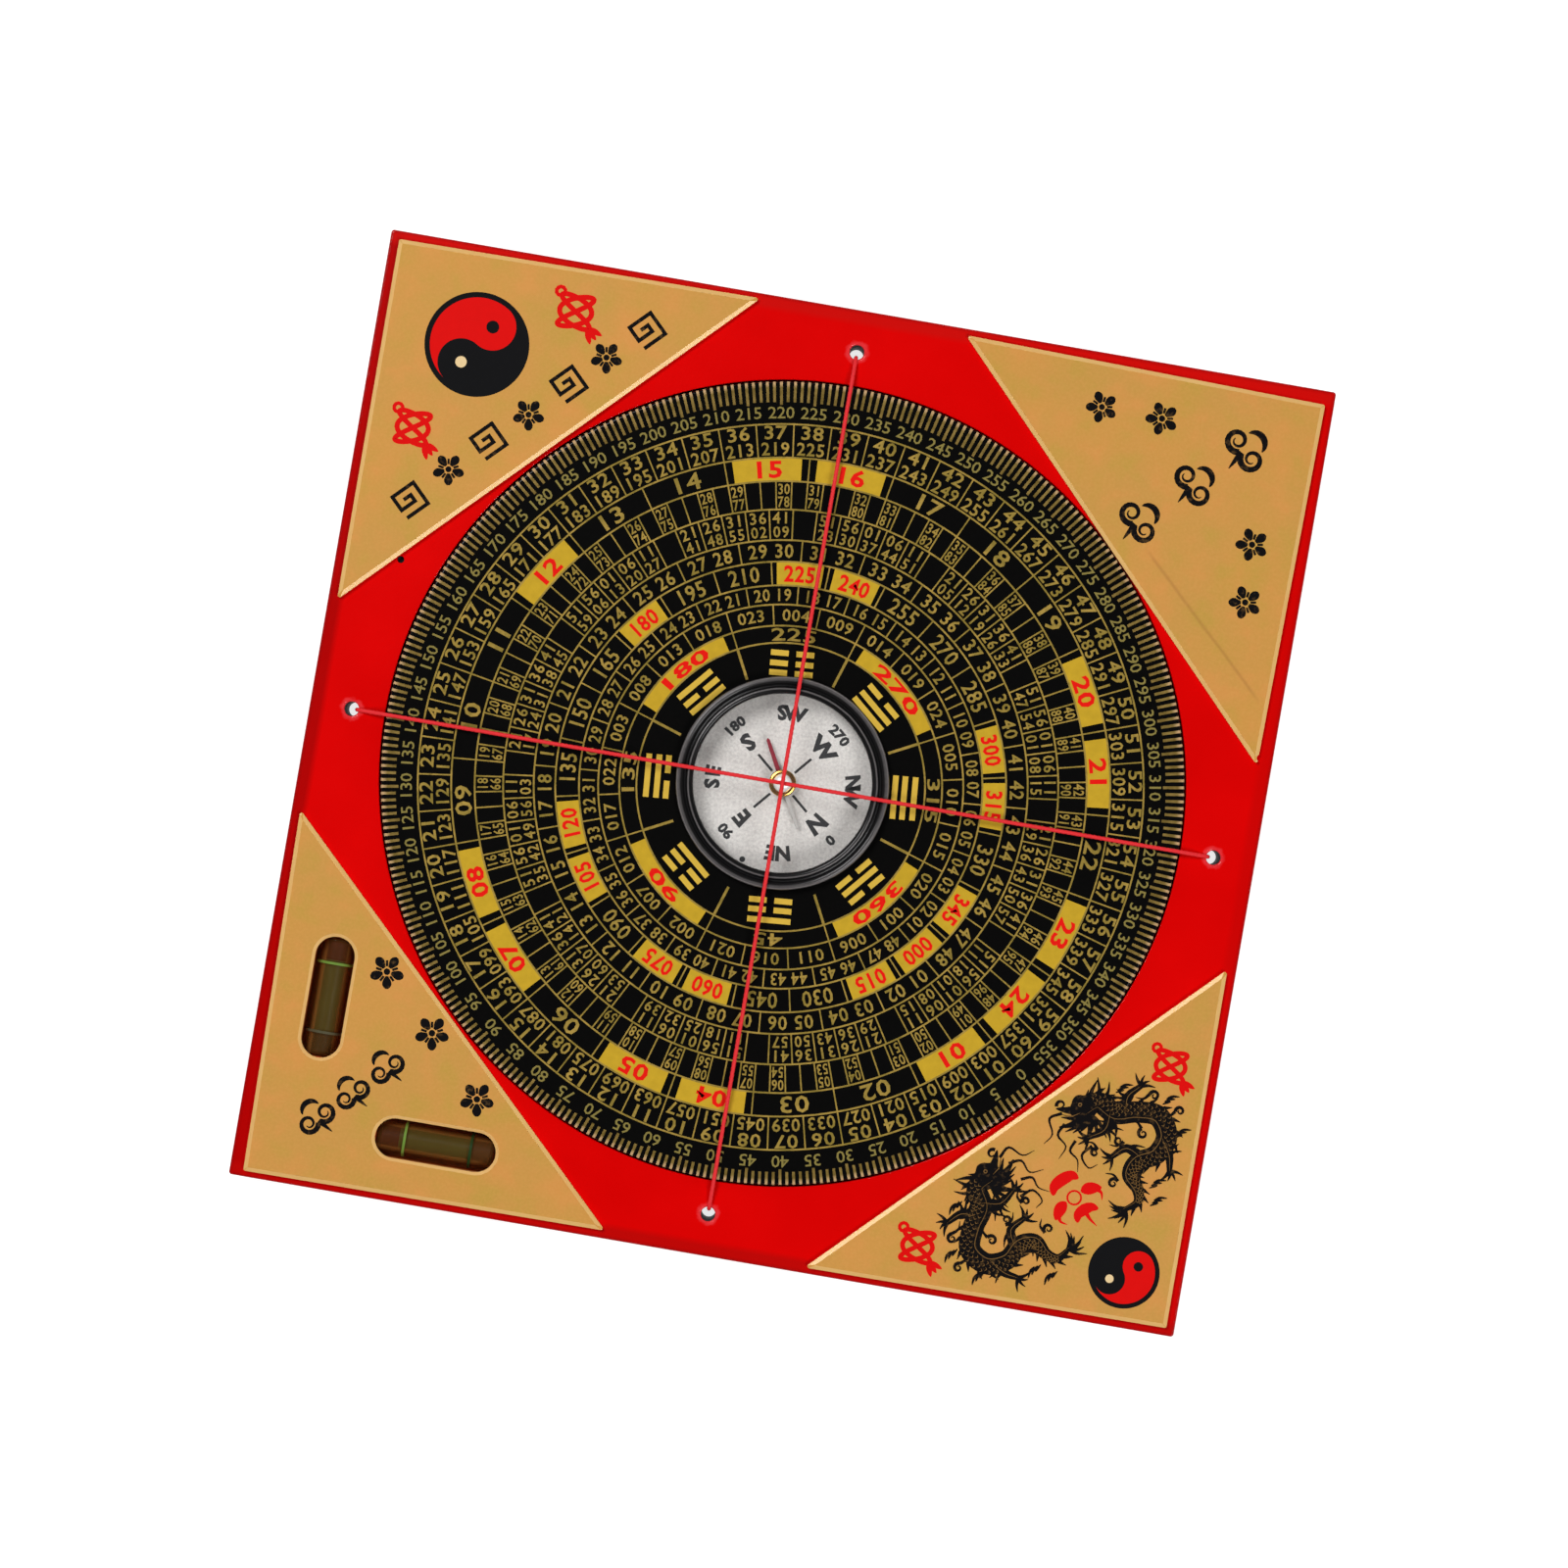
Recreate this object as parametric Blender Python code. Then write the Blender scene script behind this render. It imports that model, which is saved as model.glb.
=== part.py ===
# A feng shui compass: a red lacquered board with a turning black dial, a capsule compass in the
# dial's middle, gold corner plates, two spirit-level vials and two stretched sight threads.
# The origin is at the middle of the underside, +Z is up, +X is right and +Y is away from the reader.
import math

import bmesh
import bpy

# Gaps: between pieces that seat on each other, round pieces that turn, and past a cutter's wall
seat_gap = 0.0003
running_gap = 0.0003
cut_overrun = 0.001

# Dial: the printed disc, which stands a little above the board
dial_radius = 0.0628
dial_thickness = 0.005
dial_proud = 0.0008
dial_edge_round = 0.0004
dial_rest_turn_deg = -130.3

# Board and the felt under it
rim_width = 0.0119
board_corner_radius = 0.0009
board_edge_round = 0.0004
recess_chamfer = 0.0002
felt_thickness = 0.001
felt_inset = 0.0006

# Hub: a flanged bush that turns in the board's bore and is screwed to the dial from below
ledge_thickness = 0.0032
hub_bore_step = 0.0003
hub_wall = 0.0058
hub_flange_overhang = 0.0048
hub_flange_thickness = 0.0018
hub_flange_room = 0.0009
hub_chamfer = 0.0003
screw_count = 3
screw_radius = 0.001
screw_head_radius = 0.002
screw_head_height = 0.001
screw_bite = 0.003
screw_point = 0.0006

# Capsule: case, card, lens and bezel
case_radius = 0.0156
case_wall = 0.0012
case_floor = 0.003
case_chamfer = 0.0004
bezel_height = 0.002
bezel_seat_width = 0.0008
bezel_lip_thickness = 0.0009
bezel_cover = 0.0016
lens_thickness = 0.0014
lens_inset = 0.0003
lens_chamfer = 0.0002
card_thickness = 0.0005
needle_room = 0.0036

# Needle and its pivot
needle_half_length = 0.0075
needle_root_width = 0.0007
needle_tip_width = 0.0004
needle_thickness = 0.0002
needle_ring_width = 0.0005
needle_rest_turn_deg = 28.2
cap_radius = 0.00215
cap_stem_radius = 0.0012
cap_stem_drop = 0.0003
cap_dome = 0.0012
cap_headroom = 0.0005
cap_crown_wall = 0.0005
cap_cup_wall = 0.0003
pin_radius = 0.00045
pin_point_length = 0.0009
pin_head_radius = 0.0011
pin_head_height = 0.0005
pin_tip_gap = 0.0002

# Sight threads, their holes in the board and their knots in pockets underneath
thread_radius = 0.0003
thread_bend = 0.0006
thread_hole_offset = 0.0053
thread_hole_radius = 0.0013
thread_hole_chamfer = 0.0004
felt_hole_margin = 0.0004
knot_radius = 0.00085
knot_reach = 0.0046

# Corner plates: how far each lies in from the board's edges, along X and along Y
plate_thickness = 0.0008
plate_bevel = 0.00025
plate_corner_radius = 0.0004
plate_dial_clearance = 0.0001
back_left_inset_x = 0.0015
back_left_inset_y = 0.0014
back_right_inset_x = 0.0015
back_right_inset_y = 0.0023
front_right_inset_x = 0.0013
front_right_inset_y = 0.0013
front_left_inset_x = 0.00225
front_left_inset_y = 0.001

# Levels: clear tubes with a plug at each end, sunk in pockets under slots in the front left plate
vial_radius = 0.0029
vial_wall = 0.0006
vial_length = 0.0184
vial_plug_length = 0.0034
vial_depth = 0.0001
vial_chamfer = 0.0003
vial_slot_length = 0.0191
vial_slot_width = 0.0062
vial_x_from_left = 0.03115
vial_x_from_front = 0.01
vial_y_from_left = 0.0107
vial_y_from_front = 0.02995
bubble_radius = 0.0008
bubble_length = 0.007

# Facets of round pieces, by size, and the angle past which an edge stays sharp
dial_facets = 96
ring_facets = 56
small_facets = 20
knot_facets = 10
thread_facets = 8
sharp_angle_deg = 35

# Heights, worked out from the felt's underside up to the lens
board_bottom = felt_thickness + seat_gap
flange_bottom = board_bottom + hub_flange_room
flange_top = flange_bottom + hub_flange_thickness
ledge_bottom = flange_top + seat_gap
recess_floor = ledge_bottom + ledge_thickness
dial_bottom = recess_floor + seat_gap
sleeve_top = dial_bottom - seat_gap
dial_top = dial_bottom + dial_thickness
board_top = dial_top - dial_proud
plate_bottom = board_top + seat_gap
bezel_top = dial_top + bezel_height
lip_bottom = bezel_top - bezel_lip_thickness
lens_top = lip_bottom - seat_gap
lens_bottom = lens_top - lens_thickness
case_top = lens_bottom - seat_gap
card_top = lens_bottom - needle_room
card_bottom = card_top - card_thickness
case_floor_top = card_bottom - seat_gap
case_bottom = case_floor_top - case_floor
cap_top = lens_bottom - cap_headroom
cap_brim = cap_top - cap_dome
needle_top = cap_brim - seat_gap
needle_bottom = needle_top - needle_thickness
cap_bottom = needle_bottom - cap_stem_drop
pin_tip = cap_top - cap_crown_wall - pin_tip_gap

# Sizes across
recess_radius = dial_radius + running_gap
board_half = recess_radius + rim_width
dial_bore_radius = case_radius + seat_gap
hub_bore_radius = dial_bore_radius + hub_bore_step
hub_radius = hub_bore_radius + hub_wall
hub_flange_radius = hub_radius + hub_flange_overhang
board_bore_radius = hub_radius + running_gap
counterbore_radius = hub_flange_radius + running_gap
screw_circle_radius = (hub_bore_radius + hub_radius) / 2
bezel_radius = dial_bore_radius + bezel_seat_width
window_radius = case_radius - bezel_cover
case_inner_radius = case_radius - case_wall
card_radius = case_inner_radius - seat_gap
pin_hole_radius = pin_radius + seat_gap
needle_hole_radius = cap_stem_radius + seat_gap
needle_ring_radius = needle_hole_radius + needle_ring_width
thread_hole_place = recess_radius + thread_hole_offset
thread_drop_place = thread_hole_place - thread_hole_radius + seat_gap + thread_radius
knot_place = thread_hole_place - knot_reach
knot_height = felt_thickness + seat_gap + knot_radius
vial_bore_radius = vial_radius - vial_wall
vial_height = board_top - vial_depth - vial_radius
liquid_radius = vial_bore_radius - seat_gap
liquid_half_length = vial_length / 2 - vial_plug_length - seat_gap
bubble_rise = liquid_radius - bubble_radius

# The bezel's turned top, from window to outer wall: share of its width, share of the lip's height
bezel_top_shares = (
    (0.0, 0.45), (0.07, 0.75), (0.18, 0.92), (0.3, 0.95), (0.4, 0.7), (0.52, 0.62), (0.6, 0.8),
    (0.7, 0.97), (0.8, 1.0), (0.9, 0.93), (0.97, 0.72), (1.0, 0.4),
)
# The cap's dome, from brim to crown: share of its radius, share of its height
cap_dome_shares = (
    (1.0, 0.0), (1.0, 0.2), (0.93, 0.45), (0.8, 0.66), (0.6, 0.84), (0.35, 0.95), (0.0, 1.0),
)


def clear_scene():
    for item in list(bpy.data.objects):
        bpy.data.objects.remove(item, do_unlink=True)


def finish(name, color, roughness, metallic=0.0, alpha=1.0):
    material = bpy.data.materials.new(name)
    material.use_nodes = True
    shader = material.node_tree.nodes["Principled BSDF"]
    shader.inputs["Base Color"].default_value = (*color, 1.0)
    shader.inputs["Roughness"].default_value = roughness
    shader.inputs["Metallic"].default_value = metallic
    shader.inputs["Alpha"].default_value = alpha
    return material


def object_from(name, bm, material=None):
    bmesh.ops.recalc_face_normals(bm, faces=bm.faces)
    mesh = bpy.data.meshes.new(name)
    bm.to_mesh(mesh)
    bm.free()
    mesh.shade_smooth()
    mesh.set_sharp_from_angle(angle=math.radians(sharp_angle_deg))
    if material:
        mesh.materials.append(material)
    item = bpy.data.objects.new(name, mesh)
    bpy.context.scene.collection.objects.link(item)
    return item


# A profile of (radius, height) points, spun a full turn about Z; its ends lie on the axis or meet
def turned(name, profile, facets, material=None):
    bm = bmesh.new()
    points = [bm.verts.new((radius, 0, height)) for radius, height in profile]
    on_axis = profile[0][0] == 0 and profile[-1][0] == 0
    pairs = list(zip(points, points[1:]))
    if not on_axis:
        pairs.append((points[-1], points[0]))
    edges = [bm.edges.new(pair) for pair in pairs]
    bmesh.ops.spin(
        bm, geom=points + edges, cent=(0, 0, 0), axis=(0, 0, 1), angle=2 * math.pi, steps=facets,
        use_merge=True, use_duplicate=False,
    )
    bmesh.ops.remove_doubles(bm, verts=bm.verts, dist=seat_gap / 100)
    return object_from(name, bm, material)


# An outline of (x, y) points, made a face and extruded from one height to another
def prism(name, outline, bottom, top, material=None):
    bm = bmesh.new()
    face = bm.faces.new([bm.verts.new((x, y, bottom)) for x, y in outline])
    made = bmesh.ops.extrude_face_region(bm, geom=[face])
    raised = [item for item in made["geom"] if isinstance(item, bmesh.types.BMVert)]
    bmesh.ops.translate(bm, verts=raised, vec=(0, 0, top - bottom))
    return object_from(name, bm, material)


# Arcs in place of an outline's corners; the corners run anticlockwise
def rounded(corners, radius, steps=6):
    outline = []
    for index, corner in enumerate(corners):
        before = corners[index - 1]
        after = corners[(index + 1) % len(corners)]
        enter = math.atan2(corner[1] - before[1], corner[0] - before[0])
        leave = math.atan2(after[1] - corner[1], after[0] - corner[0])
        turn = (leave - enter) % (2 * math.pi)
        setback = radius * math.tan(turn / 2)
        start_x = corner[0] - setback * math.cos(enter)
        start_y = corner[1] - setback * math.sin(enter)
        centre_x = start_x - radius * math.sin(enter)
        centre_y = start_y + radius * math.cos(enter)
        for step in range(steps + 1):
            angle = enter - math.pi / 2 + turn * step / steps
            outline.append((centre_x + radius * math.cos(angle), centre_y + radius * math.sin(angle)))
    return outline


def rectangle(half_x, half_y, radius, steps=6):
    corners = [(-half_x, -half_y), (half_x, -half_y), (half_x, half_y), (-half_x, half_y)]
    return rounded(corners, radius, steps)


# A slot with round ends, along X or along Y
def stadium(length, width, along_y=False, steps=10):
    reach = (length - width) / 2
    outline = []
    for side in (1, -1):
        for step in range(steps + 1):
            x = side * (reach + width / 2 * math.sin(math.pi * step / steps))
            outline.append((x, side * width / 2 * -math.cos(math.pi * step / steps)))
    return [(-y, x) for x, y in outline] if along_y else outline


def bevelled(item, width, segments=1):
    bevel = item.modifiers.new("edges", "BEVEL")
    bevel.width = width
    bevel.segments = segments
    bevel.limit_method = "ANGLE"
    bevel.angle_limit = math.radians(sharp_angle_deg)
    return item


def combine(item, tool, operation="DIFFERENCE"):
    tool.hide_render = True
    tool.display_type = "WIRE"
    modifier = item.modifiers.new(tool.name, "BOOLEAN")
    modifier.operation = operation
    modifier.object = tool
    modifier.solver = "EXACT"
    return item


def moved(item, x=0.0, y=0.0, z=0.0):
    item.location = (x, y, z)
    return item


def hung_on(parent, *items):
    for item in items:
        item.parent = parent
    return items[0]


def axis_empty(name, turn_deg):
    empty = bpy.data.objects.new(name, None)
    empty.rotation_euler = (0, 0, math.radians(turn_deg))
    bpy.context.scene.collection.objects.link(empty)
    return empty


# The board: a rounded square with the dial's recess, the hub's stepped bore, the thread holes with
# their knot pockets underneath, and the pockets for the two levels
def make_board():
    lacquer = finish("red lacquer", (0.78, 0.004, 0.006), 0.25)
    outline = rectangle(board_half, board_half, board_corner_radius)
    board = prism("base_plate", outline, board_bottom, board_top, lacquer)
    bevelled(board, board_edge_round, 3)
    over = board_top + cut_overrun
    recess = [
        (0, recess_floor), (recess_radius, recess_floor), (recess_radius, board_top - recess_chamfer),
        (recess_radius + recess_chamfer + cut_overrun, over), (0, over),
    ]
    combine(board, turned("recess_cut", recess, dial_facets))
    under = board_bottom - cut_overrun
    bore = [
        (0, under), (counterbore_radius, under), (counterbore_radius, ledge_bottom),
        (board_bore_radius, ledge_bottom), (board_bore_radius, recess_floor + cut_overrun),
        (0, recess_floor + cut_overrun),
    ]
    combine(board, turned("hub_cut", bore, ring_facets))
    for number, (x, y) in enumerate(thread_directions()):
        cut_thread_hole(board, number, x, y)
    cut_vial_pocket(board, "x", *vial_x_place(), along_y=False)
    cut_vial_pocket(board, "y", *vial_y_place(), along_y=True)
    return board


def thread_directions():
    return ((1, 0), (0, 1), (-1, 0), (0, -1))


def cut_thread_hole(board, number, x, y):
    over = board_top + cut_overrun
    flare = thread_hole_radius + thread_hole_chamfer + cut_overrun
    hole = [
        (0, -cut_overrun), (thread_hole_radius, -cut_overrun),
        (thread_hole_radius, board_top - thread_hole_chamfer), (flare, over), (0, over),
    ]
    drill = turned(f"thread_hole_cut_{number}", hole, small_facets)
    combine(board, moved(drill, thread_hole_place * x, thread_hole_place * y))
    under = board_bottom - cut_overrun
    half_width = thread_radius + seat_gap
    roof = knot_height + half_width
    middle = (thread_hole_place + knot_place) / 2
    half_length = (thread_hole_place - knot_place) / 2
    half_x, half_y = (half_length, half_width) if x else (half_width, half_length)
    groove_shape = [(-half_x, -half_y), (half_x, -half_y), (half_x, half_y), (-half_x, half_y)]
    groove = prism(f"groove_cut_{number}", groove_shape, under, roof)
    combine(board, moved(groove, middle * x, middle * y))
    pocket_radius = knot_radius + seat_gap
    pocket_roof = knot_height + pocket_radius
    pocket_shape = [(0, under), (pocket_radius, under), (pocket_radius, pocket_roof), (0, pocket_roof)]
    pocket = turned(f"knot_cut_{number}", pocket_shape, small_facets)
    combine(board, moved(pocket, knot_place * x, knot_place * y))


def cut_vial_pocket(board, name, x, y, along_y):
    half = (vial_length / 2 + seat_gap, vial_radius + seat_gap)
    shape = rectangle(half[1], half[0], vial_chamfer) if along_y else rectangle(*half, vial_chamfer)
    floor = vial_height - vial_radius - seat_gap
    pocket = prism(f"vial_{name}_cut", shape, floor, board_top + cut_overrun)
    combine(board, moved(pocket, x, y))


def make_felt():
    red_felt = finish("wine red felt", (0.16, 0.012, 0.02), 0.95)
    half = board_half - felt_inset
    felt = prism("backing_felt", rectangle(half, half, board_corner_radius), 0, felt_thickness, red_felt)
    for number, (x, y) in enumerate(thread_directions()):
        radius = thread_hole_radius + felt_hole_margin
        shape = [
            (0, -cut_overrun), (radius, -cut_overrun), (radius, felt_thickness + cut_overrun),
            (0, felt_thickness + cut_overrun),
        ]
        punch = turned(f"felt_hole_cut_{number}", shape, small_facets)
        combine(felt, moved(punch, thread_hole_place * x, thread_hole_place * y))
    return felt


# Each corner plate is a right-angled triangle whose long side just clears the dial's recess
def make_corner_plates():
    places = (
        ("corner_plate_back_left", -1, 1, back_left_inset_x, back_left_inset_y),
        ("corner_plate_back_right", 1, 1, back_right_inset_x, back_right_inset_y),
        ("corner_plate_front_right", 1, -1, front_right_inset_x, front_right_inset_y),
        ("corner_plate_front_left", -1, -1, front_left_inset_x, front_left_inset_y),
    )
    widest = max(inset_x + inset_y for _, _, _, inset_x, inset_y in places)
    clear_radius = recess_radius + plate_dial_clearance
    leg = 2 * board_half - widest - math.sqrt(2) * clear_radius
    plates = []
    for name, side_x, side_y, inset_x, inset_y in places:
        gold = finish(name.replace("_", " ") + " gold", (0.62, 0.33, 0.09), 0.35, 0.6)
        x = side_x * (board_half - inset_x)
        y = side_y * (board_half - inset_y)
        corners = [(x, y), (x - side_x * leg, y), (x, y - side_y * leg)]
        if side_x * side_y < 0:
            corners.reverse()
        outline = rounded(corners, plate_corner_radius)
        plate = prism(name, outline, plate_bottom, plate_bottom + plate_thickness, gold)
        if name == "corner_plate_front_left":
            cut_vial_slot(plate, "x", *vial_x_place(), along_y=False)
            cut_vial_slot(plate, "y", *vial_y_place(), along_y=True)
        plates.append(bevelled(plate, plate_bevel))
    return plates


def cut_vial_slot(plate, name, x, y, along_y):
    outline = stadium(vial_slot_length, vial_slot_width, along_y)
    top = plate_bottom + plate_thickness + cut_overrun
    slot = prism(f"vial_{name}_slot_cut", outline, plate_bottom - cut_overrun, top)
    combine(plate, moved(slot, x, y))


def vial_x_place():
    return vial_x_from_left - board_half, vial_x_from_front - board_half


def vial_y_place():
    return vial_y_from_left - board_half, vial_y_from_front - board_half


# A level: a clear tube between two plugs, with the liquid grooved along its top for the bubble
def make_vial(name, x, y, along_y, ends):
    glass = finish(f"vial {name} clear", (0.75, 0.8, 0.7), 0.05, 0.0, 0.4)
    olive = finish(f"vial {name} liquid", (0.12, 0.11, 0.03), 0.1, 0.0, 0.7)
    dark = finish(f"vial {name} plug", (0.09, 0.015, 0.01), 0.4)
    clear = finish(f"vial {name} bubble", (0.55, 0.55, 0.35), 0.05, 0.0, 0.5)
    half = vial_length / 2
    cut = vial_chamfer
    tube_shape = [
        (vial_bore_radius, -half), (vial_radius - cut, -half), (vial_radius, -half + cut),
        (vial_radius, half - cut), (vial_radius - cut, half), (vial_bore_radius, half),
    ]
    tube = turned(f"vial_{name}_tube", tube_shape, small_facets, glass)
    liquid_shape = [
        (0, -liquid_half_length), (liquid_radius, -liquid_half_length),
        (liquid_radius, liquid_half_length), (0, liquid_half_length),
    ]
    liquid = turned(f"vial_{name}_liquid", liquid_shape, small_facets, olive)
    reach = liquid_half_length + cut_overrun
    groove_radius = bubble_radius + seat_gap
    groove_shape = [(0, -reach), (groove_radius, -reach), (groove_radius, reach), (0, reach)]
    groove = turned(f"vial_{name}_groove_cut", groove_shape, small_facets)
    combine(liquid, groove)
    plugs = []
    for side, end in ((-1, ends[0]), (1, ends[1])):
        inner = side * (half - vial_plug_length)
        outer = side * (half - cut)
        plug_shape = [
            (0, inner), (liquid_radius, inner), (liquid_radius, outer - side * cut),
            (liquid_radius - cut, outer), (0, outer),
        ]
        if side < 0:
            plug_shape.reverse()
        plugs.append(turned(f"vial_{name}_plug_{end}", plug_shape, small_facets, dark))
    bubble = turned(f"vial_{name}_bubble", bubble_profile(), knot_facets, clear)
    lie = (-math.pi / 2, 0, 0) if along_y else (0, math.pi / 2, 0)
    for item in (tube, liquid, groove, bubble, *plugs):
        item.rotation_euler = lie
        rise = bubble_rise if item in (groove, bubble) else 0
        moved(item, x, y, vial_height + rise)


# A bubble: a short rod with round ends
def bubble_profile(steps=4):
    reach = bubble_length / 2 - bubble_radius
    low = [
        (bubble_radius * math.sin(turn), -reach - bubble_radius * math.cos(turn))
        for turn in (math.pi / 2 * step / steps for step in range(steps + 1))
    ]
    low[0] = (0, -bubble_length / 2)
    return low + [(radius, -height) for radius, height in reversed(low)]


def make_dial(axis):
    black = finish("black dial", (0.006, 0.005, 0.005), 0.35)
    cut = dial_edge_round
    profile = [
        (dial_bore_radius, dial_bottom), (dial_radius - cut, dial_bottom), (dial_radius, dial_bottom + cut),
        (dial_radius, dial_top - cut), (dial_radius - cut / 3, dial_top - cut / 3),
        (dial_radius - cut, dial_top), (dial_bore_radius, dial_top),
    ]
    dial = turned("dial_disc", profile, dial_facets, black)
    radius = screw_radius + seat_gap / 2
    roof = dial_bottom + screw_bite + seat_gap
    below = dial_bottom - cut_overrun
    shape = [(0, below), (radius, below), (radius, roof), (0, roof)]
    for number, (x, y) in enumerate(screw_places()):
        pilot = turned(f"pilot_cut_{number}", shape, small_facets)
        hung_on(axis, moved(pilot, x, y))
        combine(dial, pilot)
    return hung_on(axis, dial)


def screw_places():
    turns = [2 * math.pi * number / screw_count for number in range(screw_count)]
    return [(screw_circle_radius * math.cos(turn), screw_circle_radius * math.sin(turn)) for turn in turns]


def make_hub(axis):
    nylon = finish("black hub", (0.02, 0.02, 0.02), 0.5)
    cut = hub_chamfer
    profile = [
        (hub_bore_radius, flange_bottom), (hub_flange_radius - cut, flange_bottom),
        (hub_flange_radius, flange_bottom + cut), (hub_flange_radius, flange_top),
        (hub_radius, flange_top), (hub_radius, sleeve_top - cut), (hub_radius - cut, sleeve_top),
        (hub_bore_radius, sleeve_top),
    ]
    hub = turned("hub_bush", profile, ring_facets, nylon)
    hole_radius = screw_radius + seat_gap
    sink_radius = screw_head_radius + seat_gap
    below = flange_bottom - cut_overrun
    shape = [
        (0, below), (sink_radius, below), (sink_radius, flange_bottom + seat_gap),
        (hole_radius, flange_bottom + seat_gap + screw_head_height), (hole_radius, sleeve_top + cut_overrun),
        (0, sleeve_top + cut_overrun),
    ]
    for number, (x, y) in enumerate(screw_places()):
        drill = turned(f"screw_hole_cut_{number}", shape, small_facets)
        hung_on(axis, moved(drill, x, y))
        combine(hub, drill)
    return hung_on(axis, hub)


def make_screws(axis):
    steel = finish("zinc screws", (0.6, 0.6, 0.58), 0.35, 1.0)
    tip = dial_bottom + screw_bite
    shape = [
        (0, flange_bottom), (screw_head_radius, flange_bottom),
        (screw_radius, flange_bottom + screw_head_height), (screw_radius, tip - screw_point), (0, tip),
    ]
    for number, (x, y) in enumerate(screw_places()):
        screw = turned(f"hub_screw_{number + 1}", shape, small_facets, steel)
        hung_on(axis, moved(screw, x, y))


def make_capsule(axis):
    shell = finish("black case", (0.015, 0.015, 0.016), 0.4)
    silver = finish("matt silver card", (0.58, 0.57, 0.57), 0.6, 0.3)
    glass = finish("clear lens", (0.9, 0.92, 0.92), 0.03, 0.0, 0.15)
    ring = finish("black bezel", (0.03, 0.031, 0.033), 0.35)
    steel = finish("steel pin", (0.6, 0.6, 0.6), 0.25, 1.0)
    cut = case_chamfer
    case_profile = [
        (pin_hole_radius, case_bottom), (case_radius - cut, case_bottom), (case_radius, case_bottom + cut),
        (case_radius, case_top), (case_inner_radius, case_top), (case_inner_radius, case_floor_top),
        (pin_hole_radius, case_floor_top),
    ]
    card_profile = [
        (pin_hole_radius, card_bottom), (card_radius, card_bottom), (card_radius, card_top),
        (pin_hole_radius, card_top),
    ]
    lens_radius = case_radius - lens_inset
    cut = lens_chamfer
    lens_profile = [
        (0, lens_bottom), (lens_radius - cut, lens_bottom), (lens_radius, lens_bottom + cut),
        (lens_radius, lens_top - cut), (lens_radius - cut, lens_top), (0, lens_top),
    ]
    head_top = case_bottom - seat_gap
    head_bottom = head_top - pin_head_height
    pin_profile = [
        (0, head_bottom), (pin_head_radius, head_bottom), (pin_head_radius, head_top),
        (pin_radius, head_top), (pin_radius, pin_tip - pin_point_length), (0, pin_tip),
    ]
    hung_on(
        axis,
        turned("capsule_case", case_profile, ring_facets, shell),
        turned("compass_card", card_profile, ring_facets, silver),
        turned("lens", lens_profile, ring_facets, glass),
        turned("bezel_ring", bezel_profile(), ring_facets, ring),
        turned("pivot_pin", pin_profile, small_facets, steel),
    )


# The bezel stands on the dial by its outer wall, and its lip reaches in over the lens
def bezel_profile():
    width = bezel_radius - window_radius
    foot = dial_top + seat_gap
    top = [
        (window_radius + across * width, lip_bottom + up * bezel_lip_thickness)
        for across, up in bezel_top_shares
    ]
    under = [
        (bezel_radius, foot), (dial_bore_radius, foot), (dial_bore_radius, lip_bottom),
        (window_radius, lip_bottom),
    ]
    return top + under


def make_needle(axis):
    red = finish("red needle", (0.45, 0.02, 0.06), 0.4)
    brass = finish("brass cap", (0.75, 0.5, 0.15), 0.25, 1.0)
    needle = prism("needle", needle_outline(), needle_bottom, needle_top, red)
    hole = [
        (0, needle_bottom - cut_overrun), (needle_hole_radius, needle_bottom - cut_overrun),
        (needle_hole_radius, needle_top + cut_overrun), (0, needle_top + cut_overrun),
    ]
    punch = turned("needle_hole_cut", hole, small_facets)
    combine(needle, punch)
    hung_on(axis, needle, punch, turned("needle_cap", cap_profile(), small_facets, brass))


# The needle lies along Y: a ring round the cap's stem with a thin tapered arm each way
def needle_outline(steps=10):
    lean = math.asin(needle_root_width / 2 / needle_ring_radius)
    outline = []
    for side in (1, -1):
        for step in range(steps + 1):
            angle = (1 - side) * math.pi / 2 - math.pi / 2 + lean + (math.pi - 2 * lean) * step / steps
            outline.append((needle_ring_radius * math.cos(angle), needle_ring_radius * math.sin(angle)))
        half_tip = needle_tip_width / 2
        outline.append((side * half_tip, side * (needle_half_length - half_tip)))
        outline.append((0, side * needle_half_length))
        outline.append((-side * half_tip, side * (needle_half_length - half_tip)))
    return outline


# The cap: a brimmed dome on a stem, with a cone inside that rests on the pin's point
def cap_profile():
    dome = [(across * cap_radius, cap_brim + up * cap_dome) for across, up in cap_dome_shares]
    cup_radius = cap_stem_radius - cap_cup_wall
    stem = [(cup_radius, cap_bottom), (cap_stem_radius, cap_bottom), (cap_stem_radius, cap_brim)]
    return [(0, cap_top - cap_crown_wall)] + stem + dome


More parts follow.
